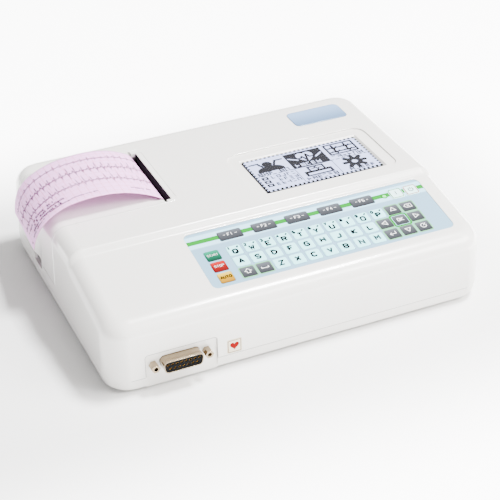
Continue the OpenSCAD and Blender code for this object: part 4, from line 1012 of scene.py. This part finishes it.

# ---------------------------------------------------------------- paper slot
# A thin black strip in the seam gap at the tear bar's lip: painted shade, standing for the shadow
# down in the gap
LIP_Y0, LIP_Y1 = 7.2, 70.3
GAP_SHADE_SIZE = (0.3, LIP_Y1 - LIP_Y0, 7.0)
GAP_SHADE_AT = (-44.6, (LIP_Y0 + LIP_Y1) / 2, 55.9)
bm = bmesh.new()
bmesh.ops.create_cube(bm, size=1.0)
bmesh.ops.scale(bm, vec=Vector(GAP_SHADE_SIZE) * MM, verts=bm.verts)
bmesh.ops.bevel(bm, geom=bm.edges[:], offset=0.1 * MM, segments=2, affect="EDGES")
place_form(bm, "seam_gap_shade", MATERIALS["black_plastic"],
           Matrix.Translation(Vector(GAP_SHADE_AT) * MM))

# ---------------------------------------------------------------- painted highlight ribs
# Near-white gloss for ribs laid along edges and seams: painted highlights that stand for the light
# those edges catch
HIGHLIGHT_WHITE = surface("painted_highlight_white", srgb(253, 253, 251), rough=0.18, vary=0.01, bump=0, coat=1.0,
                    specular=1.0)
HIGHLIGHT_WHITE.node_tree.nodes["Principled BSDF"].inputs["Coat IOR"].default_value = 2.6


def painted_rib(name, points, r):
    """A painted highlight: a thin near-white glossy rib of radius r along the points, sunk in part,
    where an edge catches the light.
    """
    curve = bpy.data.curves.new(name, "CURVE")
    curve.dimensions = "3D"
    curve.bevel_depth = r * MM
    curve.bevel_resolution = 2
    curve.use_fill_caps = True
    rail = curve.splines.new("POLY")
    rail.points.add(len(points) - 1)
    for q, p in zip(rail.points, points):
        q.co = (*(Vector(p) * MM), 1)
    rail.use_smooth = True
    link(name, curve, [HIGHLIGHT_WHITE], "base")


SINK = 0.12
LID_FRONT, LID_REAR, LID_END, SEAM_OUT = 5.0, 74.0, -48.7, 0.85
HIGHLIGHT_START, FLAT_END = LID_END + 6, -113.7
# The case's outline over the top left fillet and down the wall: x, and height from the top
CORNER = [(-116.3, -0.34), (-118.74, -1.34), (-120.85, -2.93), (-122.49, -5.0),
          (-123.56, -7.41), (-123.96, -10.0), (-124.37, -25.0), (-124.77, -41.0)]
# Painted highlights along the lid's front and rear seams, over the fillet and down the wall
for name, y in (("front_seam_rim", LID_FRONT - SEAM_OUT), ("rear_seam_rim", LID_REAR + SEAM_OUT)):
    points = [(x, y, TOP_Z - SINK) for x in (HIGHLIGHT_START, FLAT_END)]
    for x, dz in CORNER:
        turn = min(1, -dz / 10)  # from 0 on the flat top to 1 on the wall
        points.append((x + SINK * turn, y, TOP_Z + dz - SINK * (1 - turn)))
    painted_rib(name, points, 0.34)
TRAY_SIDE, TRAY_BACK, TRAY_CORNER = 9.3, 9.0, 8
PLATE_REAR = 50.95  # v just behind the faceplate
# Painted highlight along the display tray's back edge
painted_rib("tray_edge_highlight", [(x, LCD_Y + LCD_L + TRAY_BACK + 0.3, TOP_Z - SINK)
                  for x in (LCD_X - TRAY_SIDE + TRAY_CORNER,
                            LCD_X + LCD_W + TRAY_SIDE - TRAY_CORNER)], 0.26)
# Painted highlight along the back edge of the faceplate's recess
painted_rib("faceplate_edge_highlight", [tuple(deck(u, PLATE_REAR, -SINK) / MM) for u in (1.5, 162.0)], 0.34)

# ---------------------------------------------------------------- metal and small parts
for n, b in (("connector_shell", 0.12), ("jack_screws", 0.2), ("connector_insert", 0.08),
             ("rubber_feet", 0.4), ("platen_shaft", 0.2), ("printer_frame", 0.15),
             ("print_head", 0.15), ("stepper_motor", 0.4), ("roll_spindle", 0.3),
             ("battery_pack", 0.8), ("power_inlet", 0.15), ("lid_hinge_pins", 0.15),
             ("paper_roll", 0.15), ("status_led", 0.2)):
    dress(n, bevel=b)

# ---------------------------------------------------------------- floor and light, in metres
bm = bmesh.new()
bmesh.ops.create_grid(bm, x_segments=8, y_segments=8, size=3.0)
floor_mesh = bpy.data.meshes.new("floor")
bm.to_mesh(floor_mesh)
bm.free()
floor = bpy.data.objects.new("floor", floor_mesh)
scene.collection.objects.link(floor)
floor_paper = surface("floor_paper", srgb(252, 252, 252), rough=0.9, vary=0.005, bump=0)
floor_mesh.materials.append(floor_paper)

# The painted shade round the object, where the floor's glow is left out, reaches further to the
# left by this much
SHADE_SIDE = 0.20  # the unlit patch of floor reaches this much further to the left


def glow_floor_painted_shade(m, nearest, farthest, strength):
    """The floor glows, a painted light, and the glow fades out close to the object, which paints a
    shade round it.
    """
    t = m.node_tree
    b = t.nodes["Principled BSDF"]

    def vector(op, *values):
        n = add_node(t, "VectorMath", dict(enumerate(values)), operation=op)
        return n.outputs["Value" if op == "LENGTH" else "Vector"]

    centre = [(cad_box[0][k] + cad_box[1][k]) / 2 for k in (0, 1)] + [0]
    centre[0] -= SHADE_SIDE
    half = [(cad_box[1][k] - cad_box[0][k]) / 2 for k in (0, 1)] + [1]
    half[0] += SHADE_SIDE
    at = add_node(t, "TexCoord", {}).outputs["Object"]
    aside = vector("ABSOLUTE", vector("SUBTRACT", at, centre))
    away = vector("LENGTH", vector("MAXIMUM", vector("SUBTRACT", aside, half), (0, 0, 0)))
    span = add_node(t, "MapRange", {"Value": away, "From Min": nearest, "From Max": farthest,
                                    "To Max": strength}, interpolation_type="SMOOTHSTEP")
    t.links.new(span.outputs["Result"], b.inputs["Emission Strength"])
    b.inputs["Emission Color"].default_value = (1, 1, 1, 1)


glow_floor_painted_shade(floor_paper, nearest=0.012, farthest=0.15, strength=6.5)

# The studio's walls: dim and cool at the left, brighter to the right, the front and overhead
BRIGHT_SIDE = Vector((0.70, -0.30, 0.65)).normalized()
world = bpy.data.worlds.new("studio")
world.use_nodes = True
tree = world.node_tree
sky = tree.nodes["Background"]
sky.inputs["Strength"].default_value = 1.0
away = add_node(tree, "TexCoord", {}).outputs["Generated"]
lean = add_node(tree, "VectorMath", {0: away, 1: BRIGHT_SIDE}, operation="DOT_PRODUCT")
span = add_node(tree, "MapRange", {"Value": lean.outputs["Value"], "From Min": -0.35,
                                   "From Max": 1.0})
tree.links.new(mixed(tree, span.outputs["Result"], (0.02, 0.03, 0.07, 1.0),
                     (1.6, 1.55, 1.47, 1.0)), sky.inputs["Color"])
scene.world = world


def softbox(name, place, aim, size, power, colour=(1, 1, 1)):
    data = bpy.data.lights.new(name, "AREA")
    data.shape = "RECTANGLE"
    data.size, data.size_y = size
    data.energy = power
    data.color = colour
    o = bpy.data.objects.new(name, data)
    scene.collection.objects.link(o)
    o.location = place
    o.rotation_mode = "QUATERNION"
    o.rotation_quaternion = (Vector(aim) - Vector(place)).to_track_quat("-Z", "Y")


softbox("key_light", (0.85, -0.65, 0.90), (0, 0, 0.03), (0.7, 0.5), 28, (1.0, 0.985, 0.955))
softbox("top_light", (0.45, -0.05, 1.25), (0, 0, 0.03), (0.30, 0.26), 58)
softbox("edge_light", (0.45, -0.73, 1.0), (0, -0.05, 0.03), (0.35, 0.3), 6)
